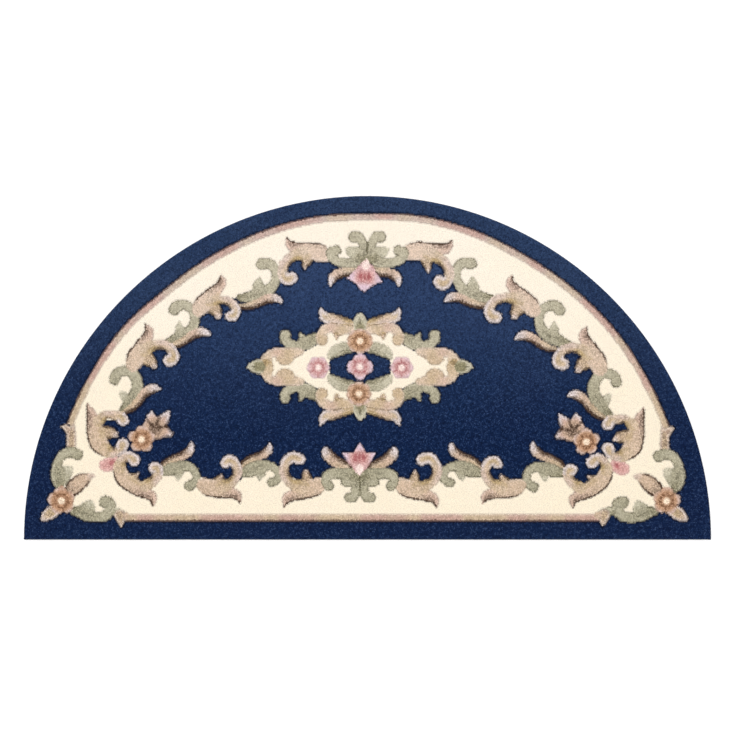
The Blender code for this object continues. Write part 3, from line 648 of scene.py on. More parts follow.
Shape = BrushRun | Flower | FlatShape | GuardLine


def turned(rows: Sequence[Run], place: Place) -> list[Run]:
    """A motif's rows, set down on the rug as its place says."""
    angle = math.radians(place.turn)
    fatness = 1.0 - THICKENING + THICKENING * place.size
    result = []
    for row in rows:
        x, y = place.size * row.x, place.size * (-row.y if place.flip else row.y)
        u = place.u + x * math.cos(angle) - y * math.sin(angle)
        v = place.v + x * math.sin(angle) + y * math.cos(angle)
        result.append(Run(u, v, row.width * fatness))
    return result


def mirrored(rows: Sequence, axis: float, shift: float = 0.0, lift: float = 0.0) -> tuple[list, list]:
    """The same rows on the right of an axis and, shift further out and lift higher, on its left."""
    right = [type(row)(axis + row[0], *row[1:]) for row in rows]
    left = [type(row)(axis - row[0] - shift, row[1] + lift, *row[2:]) for row in rows]
    return right, left


def pair(yarn: Yarn, dress: Dress, sides: Sequence, hand: int) -> Iterator[BrushRun]:
    """The right and the left run of a stroke, with the field on opposite sides of their spines."""
    for rows, side in zip(sides, (hand, -hand)):
        yield BrushRun(yarn, dress, rows, side)


@dataclass
class Pattern:
    """The rug's drawing: its shapes in the order in which they overlap, and its coloured grounds."""

    shapes: list[Shape] = field(default_factory=list)

    def __post_init__(self) -> None:
        """Draws every shape."""
        self.shapes = [GuardLine(), *self.motifs(), *self.drawn(), *self.medallion(), *self.flowers()]

    def motifs(self) -> Iterator[BrushRun]:
        """The repeated tongues, scrolls and wings round the field."""
        for axis, places in ((ARC_AXIS, ARC_PLACES), (BOTTOM_AXIS, BOTTOM_PLACES)):
            for place in places:
                hand = -1 if place.flip else 1
                twin = place._replace(turn=place.turn + place.twin_turn, size=place.size * place.twin_size)
                for yarn, dress, rows in MOTIFS[place.motif]:
                    right = mirrored(turned(rows, place), axis)[0]
                    size = twin.size * (place.twin_arm if dress is Dress.ARM else 1.0)
                    left = turned(rows, twin._replace(size=size))
                    left = mirrored(left, axis, place.twin_u, place.twin_v)[1]
                    yield from pair(yarn, dress, (right, left), hand)

    def drawn(self) -> Iterator[BrushRun]:
        """The runs drawn in place: the two centres, the corners and the end ornaments."""
        for group in GROUPS:
            for yarn, dress, rows in group.strokes:
                sides = mirrored(rows, group.axis, 0.0, group.lift)
                yield from pair(yarn, dress, sides, group.hand)

    def medallion(self) -> Iterator[Shape]:
        """The medallion's runs, the buds on its ends and its flowers."""
        for yarn, dress, rows in MEDALLION_QUARTER:
            for flip in (1, -1):
                quarter = [Run(row.x, MEDALLION_V + flip * row.y, row.width) for row in rows]
                yield from pair(yarn, dress, mirrored(quarter, MEDALLION_U), flip)
        for rows in MEDALLION_BUDS:
            bud = [Run(MEDALLION_U + row.x, MEDALLION_V + row.y, row.width) for row in rows]
            yield BrushRun(Yarn.SAGE, Dress.SEPAL, bud)
        for petals in MEDALLION_FLOWERS:
            yield Flower(petals._replace(u=MEDALLION_U + petals.u, v=MEDALLION_V + petals.v))

    def flowers(self) -> Iterator[Shape]:
        """The corner flowers with their star buds, the end flowers and the two lilies."""
        stars = mirrored(STAR_BUD, FLOWER_AXIS, 0.0, CORNER_FLOWER_LIFT)
        hearts = mirrored([STAR_HEART], FLOWER_AXIS, 0.0, CORNER_FLOWER_LIFT)
        for side, outline, [heart] in zip((1, -1), stars, hearts):
            yield FlatShape(Yarn.TAN, Dress.STAR, outline, heart, (STAR_WAY.u * side, STAR_WAY.v), side)
        for petals, lift in ((CORNER_FLOWER, CORNER_FLOWER_LIFT), (END_FLOWER, 0.0)):
            yield Flower(petals._replace(u=FLOWER_AXIS + petals.u))
            yield Flower(petals._replace(u=FLOWER_AXIS - petals.u, v=petals.v + lift), -1)
        for u, v, turn, size, half in LILY_PLACES:
            whole = [*half, *((-x, y) for x, y in half[-2:0:-1])]
            cosine, sine = math.cos(math.radians(turn)) * size, math.sin(math.radians(turn)) * size
            outline = [(u + x * cosine - y * sine, v + x * sine + y * cosine) for x, y in whole]
            yield FlatShape(Yarn.ROSE, Dress.LILY, outline, (u, v), (-sine / size, cosine / size))

    def field_outline(self) -> list[tuple[float, float]]:
        """The navy field's edge, hidden under the motifs."""
        left = [(-u - FIELD_TWIN_SHIFT * (1 - v / RADIUS), v) for u, v in reversed(FIELD_EDGE)]
        return [*FIELD_EDGE, *left]

    def panel_outline(self, guard: GuardLine) -> list[tuple[float, float]]:
        """The cream panel's edge: along the guard line, and round the ornament at both ends."""
        angles = np.linspace(guard.arc_end, guard.arc_start, PANEL_ARC_STEPS)
        reach = RADIUS - band_width(angles) - guard.width / 2
        arc = list(zip(reach * np.cos(np.radians(angles)), reach * np.sin(np.radians(angles))))
        return [*arc, *PANEL_CORNER, *((2 * PANEL_AXIS - u, v) for u, v in reversed(PANEL_CORNER))]

    def four_fold(self, quarter: Sequence[Corner]) -> list[tuple[float, float]]:
        """The medallion outline that one quarter of it gives."""
        right = [*quarter, *((u, -v) for u, v in reversed(quarter))]
        whole = right + [(-u, v) for u, v in reversed(right)]
        return [(MEDALLION_U + u, MEDALLION_V + v) for u, v in whole]

    def ground(self, points: Points) -> Points:
        """The number of the ground's yarn at each point."""
        yarn = np.full(len(points), Yarn.BORDER.value)
        yarn[polygon_distance(points, self.panel_outline(self.shapes[0])) < 0] = Yarn.CREAM.value
        yarn[polygon_distance(points, self.field_outline()) < 0] = Yarn.FIELD.value
        yarn[polygon_distance(points, self.four_fold(DIAMOND_QUARTER)) < 0] = Yarn.CREAM.value
        yarn[polygon_distance(points, self.four_fold(EYE_QUARTER)) < 0] = Yarn.FIELD.value
        return yarn

    def read(self, points: Points) -> "Reading":
        """Reads the drawing at points.

        Args:
            points: places on the rug, in millimetres.

        Returns:
            Their yarns, the shades of those yarns and the gap to the nearest raised shape.
        """
        reading = Reading(points, self.ground(points))
        for shape in self.shapes:
            low, high = shape.box()
            near = ((points > low - Reading.MARGIN) & (points < high + Reading.MARGIN)).all(1).nonzero()[0]
            if len(near):
                reading.lay(shape, near, shape.measure(points[near]))
        reading.shade()
        return reading


class Shading(NamedTuple):
    """How much of a yarn's own darker, paler, warmer and pinker strands a tuft has, each from 0 to 1; the
    darker share also carries a painted shadow.
    """

    deep: Points | float = 0.0
    pale: Points | float = 0.0
    warm: Points | float = 0.0
    blush: Points | float = 0.0


class Sight(NamedTuple):
    """What the shading of a tuft depends on.

    Attributes:
        along: how far along its shape it stands.
        across: how far to the side of its shape's spine it stands, positive towards the field.
        own: how far inside its own shape it stands.
        edge: how far inside the whole patch of its yarn it stands.
        navy: 1 where navy lies round its shape, 0 where cream does.
    """

    along: Points
    across: Points
    own: Points
    edge: Points
    navy: Points


STAR_NOTCHES = (43.0, -16.0, -81.0)


def shade_leaf(at: Sight) -> Shading:
    """A leaf: a dark line and a hatched band on its outer side, a golden crotch and a pinkish tip."""
    outer = below(at.across, 0.45, 0.6)
    line = outer * below(at.edge, 4.8, 3.0) * above(at.along, 0.04, 0.16)
    hatch = outer * below(at.edge, 17.0, 10.0) * (0.14 + 0.36 * hump(at.along, 0.78, 0.5))
    inner = 0.3 * above(at.along, 0.3, 0.2) * below(at.edge, 4.0, 3.0) * smooth(at.across / 0.4)
    heart = hump(at.along, 0.45, 0.24) * above(at.across, 0.1, 0.5)
    pale = 0.15 * below(at.edge, 8.0, 7.0) * above(at.across, 0.1, 0.5)
    blush = 0.15 + 0.45 * above(at.along, 0.4, 0.4)
    return Shading(np.maximum(line, hatch + inner), pale, 0.6 * heart, blush)


def shade_arm(at: Sight) -> Shading:
    """A curled arm: golden where it leaves its leaf, ending in a bulb with a broad pale rim on the navy."""
    inner = above(at.across, 0.05, 0.5)
    bulb = above(at.along, 0.62, 0.2)
    rim = below(at.edge, 9.6, 7.0) * above(at.along, 0.42, 0.3)
    pale = rim * (0.2 + 0.65 * at.navy) * (1.0 - 0.8 * inner * (1.0 - bulb))
    pale = np.maximum(pale, 0.3 * below(at.across, 0.3, 0.6) * hump(at.along, 0.4, 0.4))
    root = hump(at.along, 0.18, 0.22) * (0.5 + 0.5 * inner)
    end = 0.7 * hump(at.along, 0.86, 0.26) * above(at.edge, 4.0, 4.4)
    warm = root + end + 0.4 * inner * (1.0 - bulb)
    side = 0.6 * above(at.across, -0.1, 0.6) * below(at.edge, 6.0, 4.5) * hump(at.along, 0.38, 0.42)
    return Shading(side + 0.12, pale, warm, 0.35 * hump(at.along, 0.45, 0.3))


def shade_lobe(at: Sight) -> Shading:
    """A small lobe: a golden heart, an olive edge and a pale tip."""
    edge = below(at.edge, 5.0, 4.0) * below(at.along, 0.9, 0.4)
    heart = below(at.along, 0.8, 0.5)
    return Shading(0.5 * edge + 0.24, 0.5 * above(at.along, 0.65, 0.3), 0.3 * edge + 0.4 * heart, 0.3)


def shade_tongue(at: Sight) -> Shading:
    """A tongue: a soft dark band along its navy side, pinkish in the middle, with a pale tip."""
    inner = above(at.across, -0.3, 0.7)
    line = 0.9 * inner * below(at.own, 4.6, 3.0) * below(at.along, 1.0, 0.3)
    band = 0.6 * inner * below(at.own, 12.0, 8.0) * below(at.along, 0.95, 0.4)
    root = 0.2 * below(at.along, 0.28, 0.25)
    pale = 0.95 * above(at.along, 0.66, 0.24) * below(at.across, 1.1, 0.7)
    warm = 0.35 * below(at.along, 0.7, 0.4) * below(at.across, 0.3, 0.8)
    return Shading(np.maximum(line, band) + root + 0.14, pale, warm, 0.5 * hump(at.along, 0.6, 0.4))


def shade_scroll(at: Sight) -> Shading:
    """A scroll: darker in its first half and round its edge, with a hatched root, and paler by the navy."""
    outline = below(at.edge, 4.0, 3.0)
    vein = 0.3 * below(np.abs(at.across), 0.5, 0.4) * hump(at.along, 0.28, 0.3) * (1.0 - 0.6 * at.navy)
    root = below(at.along, 0.24, 0.22) * (1.0 - 0.4 * at.navy)
    body = 0.14 * below(at.along, 0.6, 0.3) + 0.1 * above(at.along, 0.72, 0.2)
    pale = at.navy * 0.45 * below(at.edge, 9.0, 7.0) * below(at.across, 0.1, 0.5)
    pale = np.maximum(pale, 0.35 * hump(at.along, 0.75, 0.3) * above(at.edge, 3.0, 4.0))
    deep = outline * (0.45 - 0.15 * at.navy) + vein + 0.2 * root + body
    return Shading(deep, pale, 0.4 * root, 0.3)


def shade_tooth(at: Sight) -> Shading:
    """A scroll's tooth, darker at its foot and along its edge, pale towards its point."""
    foot = 0.15 * below(at.along, 0.5, 0.4)
    edge = 0.2 * below(at.edge, 3.0, 2.2)
    pale = (0.5 + 0.5 * above(at.along, 0.3, 0.4)) * (1.0 - 0.9 * at.navy)
    return Shading(foot + edge + 0.22 * at.navy, pale, 0.2 * below(at.along, 0.6, 0.5), 0.3)


def shade_fold(at: Sight) -> Shading:
    """The medallion's folds: golden in their hollows, olive towards their edge."""
    edge = below(at.edge, 6.0, 5.0) * (1.0 - 0.4 * at.navy)
    seam = smooth((at.edge - at.own) / 2.5)
    gold = 0.45 * hump(at.along, 0.3, 0.25) + 0.45 * above(at.along, 0.75, 0.2) + 0.6 * seam
    deep = 0.25 * edge + 0.35 * seam
    return Shading(deep, 0.35 * at.navy * edge, gold, 0.6 * hump(at.along, 0.55, 0.25))


def shade_sepal(at: Sight) -> Shading:
    """A bud on the medallion: a greyish pale rim, an olive base and a dark vein."""
    side = np.abs(at.across)
    base = above(at.along, 0.45, 0.35) * below(side, 1.0, 0.5)
    vein = 0.6 * below(side, 0.3, 0.25) * hump(at.along, 0.5, 0.4)
    return Shading(0.2 * base + vein, 0.95 * below(at.edge, 11.0, 5.0) * (1.0 - base), 0.7 * base, 0.1)


def shade_vein(at: Sight) -> Shading:
    """A dark line between two stems."""
    return Shading(0.75 * below(at.along, 1.0, 0.3), 0.0, 0.3, 0.0)


def shade_pod(at: Sight) -> Shading:
    """A seed pod: a dark ring, darker near the flower, fading to a pale tip."""
    ring = below(at.own, 6.0, 4.0) * above(at.along, 0.2, 0.25)
    near = 0.35 * above(at.along, 0.55, 0.4)
    return Shading(0.66 * ring + near + 0.04, 0.35 * below(at.along, 0.4, 0.3), 0.1, 0.3)


def shade_tip(at: Sight) -> Shading:
    """A pointed end: its tip and rim are paler, its heart is golden."""
    rim = 0.6 * below(at.edge, 5.6, 3.8)
    heart = above(at.along, 0.3, 0.3) * below(np.abs(at.across), 0.75, 0.4)
    pale = np.maximum(0.7 * below(at.along, 0.3, 0.26), rim)
    return Shading(0.1 * heart + 0.22, 0.9 * pale, 0.65 * heart, 0.15)


def shade_bud(at: Sight) -> Shading:
    """A bud with a dark heart and creamy sides."""
    heart = hump(at.along, 0.4, 0.36) * below(np.abs(at.across), 0.5, 0.35)
    rim = below(at.edge, 8.0, 6.0)
    return Shading(0.75 * heart + 0.14, 0.0, 0.2 * rim, 0.8)


def shade_lily(at: Sight) -> Shading:
    """A lily: a cream base in a dark V, a deep pink heart with dark threads, and lilac tips."""
    side = np.abs(at.across)
    thread = hump(side, 8.0, 5.5) + hump(side, 0.0, 3.0)
    heart = hump(at.along, 37.0, 20.0) * below(side, 21.0, 9.0)
    line = 0.3 * below(at.own, 3.6, 2.2) * below(at.along, 36.0, 7.0)
    cream = smooth((27.0 - at.along - 0.8 * side) / 6.0) * below(side, 10.0, 4.0)
    pale = 0.9 * np.maximum(above(at.along, 46.0, 12.0), above(side, 17.0, 11.0))
    deep = 0.4 * thread * hump(at.along, 37.0, 18.0) + 0.5 * heart
    return Shading(np.maximum(deep, line), pale, cream, 0.25 + 0.5 * heart)


def shade_star(at: Sight) -> Shading:
    """A star bud: a dark heart, dark threads between its petals, and lilac tips."""
    reach = np.hypot(at.along, at.across)
    angle = np.degrees(np.arctan2(at.across, at.along))
    threads = sum(hump(angle, notch, 20.0) for notch in STAR_NOTCHES) * below(reach, 30.0, 8.0)
    shadow = 0.45 * above(at.across, 6.0, 9.0) * below(at.own, 7.0, 5.0)
    deep = 0.6 * threads + 0.55 * below(reach, 20.0, 14.0) + shadow + 0.08
    rim = above(reach, 19.0, 14.0) * below(at.own, 10.0, 7.0)
    return Shading(deep, 0.9 * rim, 0.3 * below(reach, 26.0, 10.0), 0.9)


def shade_round(at: Sight) -> Shading:
    """A round flower: a small bright centre, dark petal hearts and pale petal rims."""
    centre = below(at.along, 0.28, 0.08)
    petals = 1.0 - centre
    between = above(at.across, 0.62, 0.28) * above(at.along, 0.3, 0.2)
    heart = hump(at.along, 0.44, 0.24) * (1.0 - 0.5 * at.across)
    pale = petals * above(at.along, 0.62, 0.3) * (0.5 + 0.35 * at.navy) * (1.0 - 0.5 * between)
    return Shading(petals * (0.62 * heart + 0.35 * between + 0.05), pale, centre, 0.3)


def shade_band(at: Sight) -> Shading:
    """The guard line: patches of tan and mauve, with a dark line on its outer side."""
    patch = np.sin(at.along * 0.43 + 1.3) + 0.7 * np.sin(at.along * 0.19) + 0.5 * np.sin(at.along * 1.1 + 0.4)
    line = 0.85 * above(at.across, 0.46, 0.4)
    pale = 0.35 * smooth((-at.across - 0.4) / 0.4)
    return Shading(0.9 * line, pale, 0.45 * smooth(0.2 - patch * 0.7), 0.8 * smooth(patch * 0.7 + 0.5))


SHADINGS = {
    Dress.LEAF: shade_leaf, Dress.ARM: shade_arm, Dress.LOBE: shade_lobe, Dress.TONGUE: shade_tongue,
    Dress.SCROLL: shade_scroll, Dress.TOOTH: shade_tooth, Dress.FOLD: shade_fold, Dress.POD: shade_pod,
    Dress.SEPAL: shade_sepal, Dress.VEIN: shade_vein, Dress.TIP: shade_tip, Dress.BUD: shade_bud,
    Dress.LILY: shade_lily, Dress.STAR: shade_star, Dress.ROUND: shade_round, Dress.BAND: shade_band,
}


@dataclass
class Reading:
    """What the drawing says at a set of points.

    Attributes:
        points: where they are.
        ground: the number of the ground's yarn there.
        yarn: the number of the yarn that is seen.
        gap: the distance to the nearest shape, negative inside it, known as far as MARGIN.
        seen: what the shape that is seen measures there, a row for each part of a Measure.
        family: the gap to the nearest shape of each yarn.
        dress: how the shape that is seen is shaded.
        shading: its yarn's other strands, with a painted SHADOW on the navy beside each shape.
    """

    MARGIN = 14.0
    SHADOW = 0.8
    SHADOW_REACH = 6.0
    SHADOW_FADE = 5.0

    points: Points
    ground: Points
    yarn: Points = field(init=False)
    gap: Points = field(init=False)
    seen: Points = field(init=False)
    family: Points = field(init=False)
    dress: Points = field(init=False)
    shading: Shading = field(init=False)

    def __post_init__(self) -> None:
        """Starts with the bare ground."""
        count = len(self.points)
        self.yarn = self.ground.copy()
        self.gap = np.full(count, self.MARGIN)
        self.seen = np.zeros((len(Measure._fields), count))
        self.family = np.full((len(Yarn), count), self.MARGIN)
        self.dress = np.full(count, Dress.PLAIN, object)

    def lay(self, shape: Shape, near: Points, found: Measure) -> None:
        """Lays a shape over what is there already.

        Args:
            shape: the shape.
            near: the numbers of the points close to it.
            found: what it measures at those points.
        """
        self.gap[near] = np.minimum(self.gap[near], found.gap)
        number = shape.yarn.value
        self.family[number, near] = np.minimum(self.family[number, near], found.gap)
        within = found.gap < 0
        inside = near[within]
        self.yarn[inside] = number
        self.seen[:, inside] = np.array(found)[:, within]
        self.dress[inside] = shape.dress

    def shade(self) -> None:
        """Works out how each shape is shaded with its yarn's other strands, and paints a shadow on the navy
        beside it.
        """
        count = len(self.points)
        edge = -self.family[self.yarn, np.arange(count)]
        navy = np.isin(self.ground, (Yarn.BORDER.value, Yarn.FIELD.value)).astype(float)
        sums = np.zeros((len(Shading._fields), count))
        for dress, shading in SHADINGS.items():
            worn = (self.dress == dress).nonzero()[0]
            gap, along, across = self.seen[:, worn]
            for row, value in zip(sums, shading(Sight(along, across, -gap, edge[worn], navy[worn]))):
                row[worn] = value
        # painted shadow: navy tufts beside each raised shape take darker strands
        shadow = self.SHADOW * below(self.gap, self.SHADOW_REACH, self.SHADOW_FADE)
        sums[0] += (self.gap > 0) * navy * shadow
        self.shading = Shading(*sums.clip(0.0, 1.0))


@dataclass(frozen=True)
class Finish:
    """A yarn's colours, given as they look on a screen, and how lively they are.

    Attributes:
        body: most of the strands.
        deep: the strands that draw dark lines and hearts, and the painted shadow on the navy.
        pale: the strands along rims and tips.
        warm: the strands in hearts and at roots.
        blush: the pinker strands.
        far: the colour of most strands near the top of the arc, paler there by a painted sheen.
        fleck: how much single tufts differ in brightness.
        heather: how much of the pale and the deep strands is spun into single tufts.
        cloud: how much wider patches differ.
    """

    body: Colour
    deep: Colour
    pale: Colour
    warm: Colour
    blush: Colour
    far: Colour
    fleck: float
    heather: float
    cloud: float


FINISHES = {
    Yarn.BORDER: Finish((15, 36, 75), (8, 16, 40), (62, 82, 118), (12, 42, 80), (24, 34, 72), (48, 67, 101),
                        0.20, 0.55, 0.35),
    Yarn.FIELD: Finish((12, 35, 74), (7, 17, 42), (62, 84, 124), (10, 44, 86), (22, 34, 74), (54, 74, 112),
                       0.20, 0.55, 0.35),
    Yarn.CREAM: Finish((255, 244, 224), (236, 218, 188), (255, 250, 238), (254, 241, 214), (255, 238, 224),
                       (255, 246, 232), 0.02, 0.05, 0.30),
    Yarn.GUARD: Finish((212, 189, 166), (88, 54, 48), (226, 213, 200), (212, 192, 158), (207, 172, 160),
                       (209, 192, 187), 0.20, 0.14, 0.25),
    Yarn.TAN: Finish((224, 202, 176), (84, 63, 50), (228, 217, 217), (198, 174, 130), (216, 184, 168),
                     (234, 215, 196), 0.20, 0.18, 0.20),
    Yarn.SAGE: Finish((188, 182, 157), (94, 88, 64), (210, 203, 182), (142, 134, 94), (184, 176, 154),
                      (210, 202, 180), 0.20, 0.22, 0.20),
    Yarn.ROSE: Finish((225, 194, 191), (180, 106, 108), (230, 208, 220), (255, 236, 228), (226, 176, 166),
                      (226, 198, 200), 0.18, 0.14, 0.20),
    Yarn.APRICOT: Finish((202, 163, 126), (116, 76, 50), (220, 198, 188), (255, 236, 212), (202, 152, 124),
                         (230, 194, 154), 0.20, 0.18, 0.20),
}
LINEN = (196, 184, 160)
# Where the painted sheen that pales the strands towards the top of the arc starts and where it is full, in
# millimetres above the straight edge.
PAINTED_SHEEN_START = 170.0
PAINTED_SHEEN_END = 580.0
EXPOSURE = 1.32


def linear(colour: Colour) -> Colour:
    """A screen colour as the light that a surface has to send back for it, by the screen's own curve."""
    scaled = [value / 255 for value in colour]
    plain = [value / 12.92 if value <= 0.04045 else ((value + 0.055) / 1.055) ** 2.4 for value in scaled]
    return tuple(value / EXPOSURE for value in plain)


def operator(operation: str, reflected: bool = False) -> Callable[["Socket", "Socket | float"], "Socket"]:
    """One of Python's operators as a Math node, with the socket second where it is reflected."""

    def apply(this: "Socket", other: "Socket | float") -> "Socket":
        """Puts both values through the node."""
        both = (other, this) if reflected else (this, other)
        return this.tree.node("ShaderNodeMath", {"operation": operation}, *both)

    return apply


@dataclass
class Socket:
    """A value or a colour in a node tree that Python's operators work on."""

    tree: "NodeTree"
    link: bpy.types.NodeSocket

    __add__ = operator("ADD")
    __radd__ = operator("ADD", reflected=True)
    __sub__ = operator("SUBTRACT")
    __rsub__ = operator("SUBTRACT", reflected=True)
    __mul__ = operator("MULTIPLY")
    __rmul__ = operator("MULTIPLY", reflected=True)

    def math(self, operation: str) -> "Socket":
        """This value through one Math node."""
        return self.tree.node("ShaderNodeMath", {"operation": operation}, self)

    def clamped(self) -> "Socket":
        """This value, kept from 0 to 1."""
        return self.tree.node("ShaderNodeClamp", {}, self)


@dataclass
class NodeTree:
    """A shader's or a geometry's node tree, and the one way to add a node to it."""

    tree: bpy.types.NodeTree

    def node(self, kind: str, settings: dict, *values: object, out: int | str = 0, **named: object) -> Socket:
        """Adds a node.

        Args:
            kind: the node's type.
            settings: its properties, set before its sockets.
            values: what goes into its first sockets, in order.
            out: which of its outputs is given back.
            named: what goes into the sockets of those names, with _ for a space.

        Returns:
            The output asked for.
        """
        node = self.tree.nodes.new(kind)
        for name, value in settings.items():
            setattr(node, name, value)
        inputs = [socket for socket in node.inputs if socket.enabled]
        filled = [*zip(inputs, values)]
        filled += [(node.inputs[name.replace("_", " ")], value) for name, value in named.items()]
        for socket, value in filled:
            if isinstance(value, Socket):
                self.tree.links.new(value.link, socket)
            else:
                socket.default_value = value
        outputs = [socket for socket in node.outputs if socket.enabled]
        return Socket(self, node.outputs[out] if isinstance(out, str) else outputs[out])

    def mix(self, factor: Socket | float, first: object, second: object) -> Socket:
        """A colour between two, by factor."""
        kept = {"data_type": "RGBA", "blend_type": "MIX"}
        first, second = ((*value, 1.0) if isinstance(value, tuple) else value for value in (first, second))
        return self.node("ShaderNodeMix", kept, factor, first, second)

    def tinted(self, colour: object, light: Socket) -> Socket:
        """A colour, darkened or lightened by the same share in red, green and blue."""
        grey = self.node("ShaderNodeCombineColor", {}, light, light, light)
        kept = {"data_type": "RGBA", "blend_type": "MULTIPLY"}
        return self.node("ShaderNodeMix", kept, 1.0, colour, grey)

    def attribute(self, name: str, out: str = "Fac") -> Socket:
        """A value or a colour that the mesh carries."""
        return self.node("ShaderNodeAttribute", {"attribute_name": name}, out=out)

    def noise(self, where: Socket, scale: float, detail: float = 2.0, rough: float = 0.5) -> Socket:
        """A noise from about 0 to 1, with scale in turns to a metre."""
        return self.node("ShaderNodeTexNoise", {}, Vector=where, Scale=scale, Detail=detail, Roughness=rough)


class Shade(Enum):
    """The names that tufts carry their shades under."""

    DEEP = "deep"
    PALE = "pale"
    WARM = "warm"
    BLUSH = "blush"
    FLECK = "fleck"


def new_material(name: str) -> tuple[bpy.types.Material, NodeTree, bpy.types.Node]:
    """A fresh material with its tree and its Principled shader."""
    material = bpy.data.materials.new(name)
    material.use_nodes = True
    return material, NodeTree(material.node_tree), material.node_tree.nodes["Principled BSDF"]


@dataclass(frozen=True)
class Surface:
    """A material, with its colour and its relief left to each kind of surface.

    Attributes:
        name: the material's name.
        roughness: how matt it is.
        specular: how strongly it glints.
        bump: how strongly its relief shows.
        depth: how deep its relief is, in metres.
        sheen: how much light its loose fibres catch.
    """

    name: str
    roughness: float = 0.9
    specular: float = 0.2
    bump: float = 0.6
    depth: float = 0.5 * MM
    sheen: float = 0.0

    def draw(self, tree: NodeTree, where: Socket) -> tuple[Socket, Socket]:
        """The surface's colour and the height of its relief, where on the object it is."""
        raise NotImplementedError

    def make(self) -> bpy.types.Material:
        """Builds the material."""
        material, tree, shader = new_material(self.name)
        colour, relief = self.draw(tree, tree.node("ShaderNodeTexCoord", {}, out="Object"))
        bump = tree.node("ShaderNodeBump", {}, Strength=self.bump, Distance=self.depth, Height=relief)
        tree.tree.links.new(colour.link, shader.inputs["Base Color"])
        tree.tree.links.new(bump.link, shader.inputs["Normal"])
        shader.inputs["Roughness"].default_value = self.roughness
        shader.inputs["Specular IOR Level"].default_value = self.specular
        shader.inputs["Sheen Weight"].default_value = self.sheen
        return material


@dataclass(frozen=True, kw_only=True)
class PileMaterial(Surface):
    """Cut wool pile in one yarn.

    Attributes:
        finish: the yarn's colours.
        stipple: how much the dark lines break up into single tufts.
        patch_scale: patches to a metre in the widest drift of colour.
        cloud_scale: clouds to a metre in the middle one.
        clump_scale: clumps of tufts to a metre.
        fibre_scale: fibres to a metre in the fine relief.
        contrast: how sharply patches and clouds stand out.
        patch_level: the noise above which a patch begins.
        cloud_level: the noise above which a cloud begins.
        clump_share: how far the heather goes by clumps.
        fleck_share: how far it goes by single tufts.
    """

    roughness: float = 0.92
    specular: float = 0.06
    bump: float = 0.25
    depth: float = 0.4 * MM
    sheen: float = 0.03
    finish: Finish
    stipple: float = 0.6
    patch_scale: float = 7.0
    cloud_scale: float = 26.0
    clump_scale: float = 170.0
    fibre_scale: float = 1500.0
    contrast: float = 3.0
    patch_level: float = 0.38
    cloud_level: float = 0.45
    clump_share: float = 5.0
    fleck_share: float = 1.2

    def draw(self, tree: NodeTree, where: Socket) -> tuple[Socket, Socket]:
        """The yarn's strands, paler towards the top of the arc by a painted sheen, over the relief of single
        fibres.
        """
        finish = self.finish
        cloud = tree.noise(where, self.cloud_scale, 3.0, 0.6)
        patch = tree.noise(where, self.patch_scale, 1.0)
        clump = tree.noise(where, self.clump_scale, 2.0, 0.75)
        fleck = tree.attribute(Shade.FLECK.value)
        # painted sheen: the strands turn to the yarn's far colour towards the top of the arc
        painted_sheen = tree.node("ShaderNodeSeparateXYZ", {}, where, out="Y")
        ramp = {"interpolation_type": "SMOOTHSTEP"}
        low, high = ((level - RADIUS / 2) * MM for level in (PAINTED_SHEEN_START, PAINTED_SHEEN_END))
        painted_sheen = tree.node("ShaderNodeMapRange", ramp, painted_sheen, low, high, 0.0, 1.0)
        colour = tree.mix(painted_sheen, linear(finish.body), linear(finish.far))
        drifts = ((patch, self.patch_level, finish.warm), (cloud, self.cloud_level, finish.blush))
        for drift, level, strand in drifts:
            amount = ((drift - level) * self.contrast).clamped() * finish.cloud
            colour = tree.mix(amount, colour, linear(strand))
        for shade in (Shade.BLUSH, Shade.WARM, Shade.PALE):
            amount = tree.attribute(shade.value)
            strand = linear(getattr(finish, shade.value))
            colour = tree.mix((amount * (0.8 + 0.3 * fleck)).clamped(), colour, strand)
        spun = (clump - 0.5) * (self.clump_share * finish.heather)
        spun = spun + (fleck - 0.5) * (self.fleck_share * finish.heather)
        hatch = tree.attribute(Shade.DEEP.value) * (1.0 + self.stipple) - fleck * self.stipple
        for amount, strand in ((spun, finish.pale), (0.0 - spun, finish.deep), (hatch, finish.deep)):
            colour = tree.mix(amount.clamped(), colour, linear(strand))
        light = 1.0 + (fleck - 0.5) * (2.0 * finish.fleck)
        return tree.tinted(colour, light), tree.noise(where, self.fibre_scale, 1.0)


@dataclass(frozen=True, kw_only=True)
class GroundMaterial(Surface):
    """The foot of the pile between the tufts, in the colour of the yarn that stands on it.

    Attributes:
        attribute: the name that the mesh carries that colour under.
        shadow: how much of the light gets down between the tufts.
        grain_scale: grains to a metre.
    """

    name: str = "pile_foot"
    roughness: float = 0.95
    specular: float = 0.15
    bump: float = 0.5
    depth: float = 0.8 * MM
    attribute: str = "yarn_colour"
    shadow: float = 0.8
    grain_scale: float = 380.0

    def draw(self, tree: NodeTree, where: Socket) -> tuple[Socket, Socket]:
        """The yarn's colour, darkened by a painted shade between the tufts and broken up by a grain."""
        grain = tree.noise(where, self.grain_scale, 2.0, 0.6)
        # painted shade between the tufts, scaled by shadow; the grain is the foot's own uneven tone
        light = self.shadow * (0.8 + 0.4 * grain)
        return tree.tinted(tree.attribute(self.attribute, "Color"), light), grain


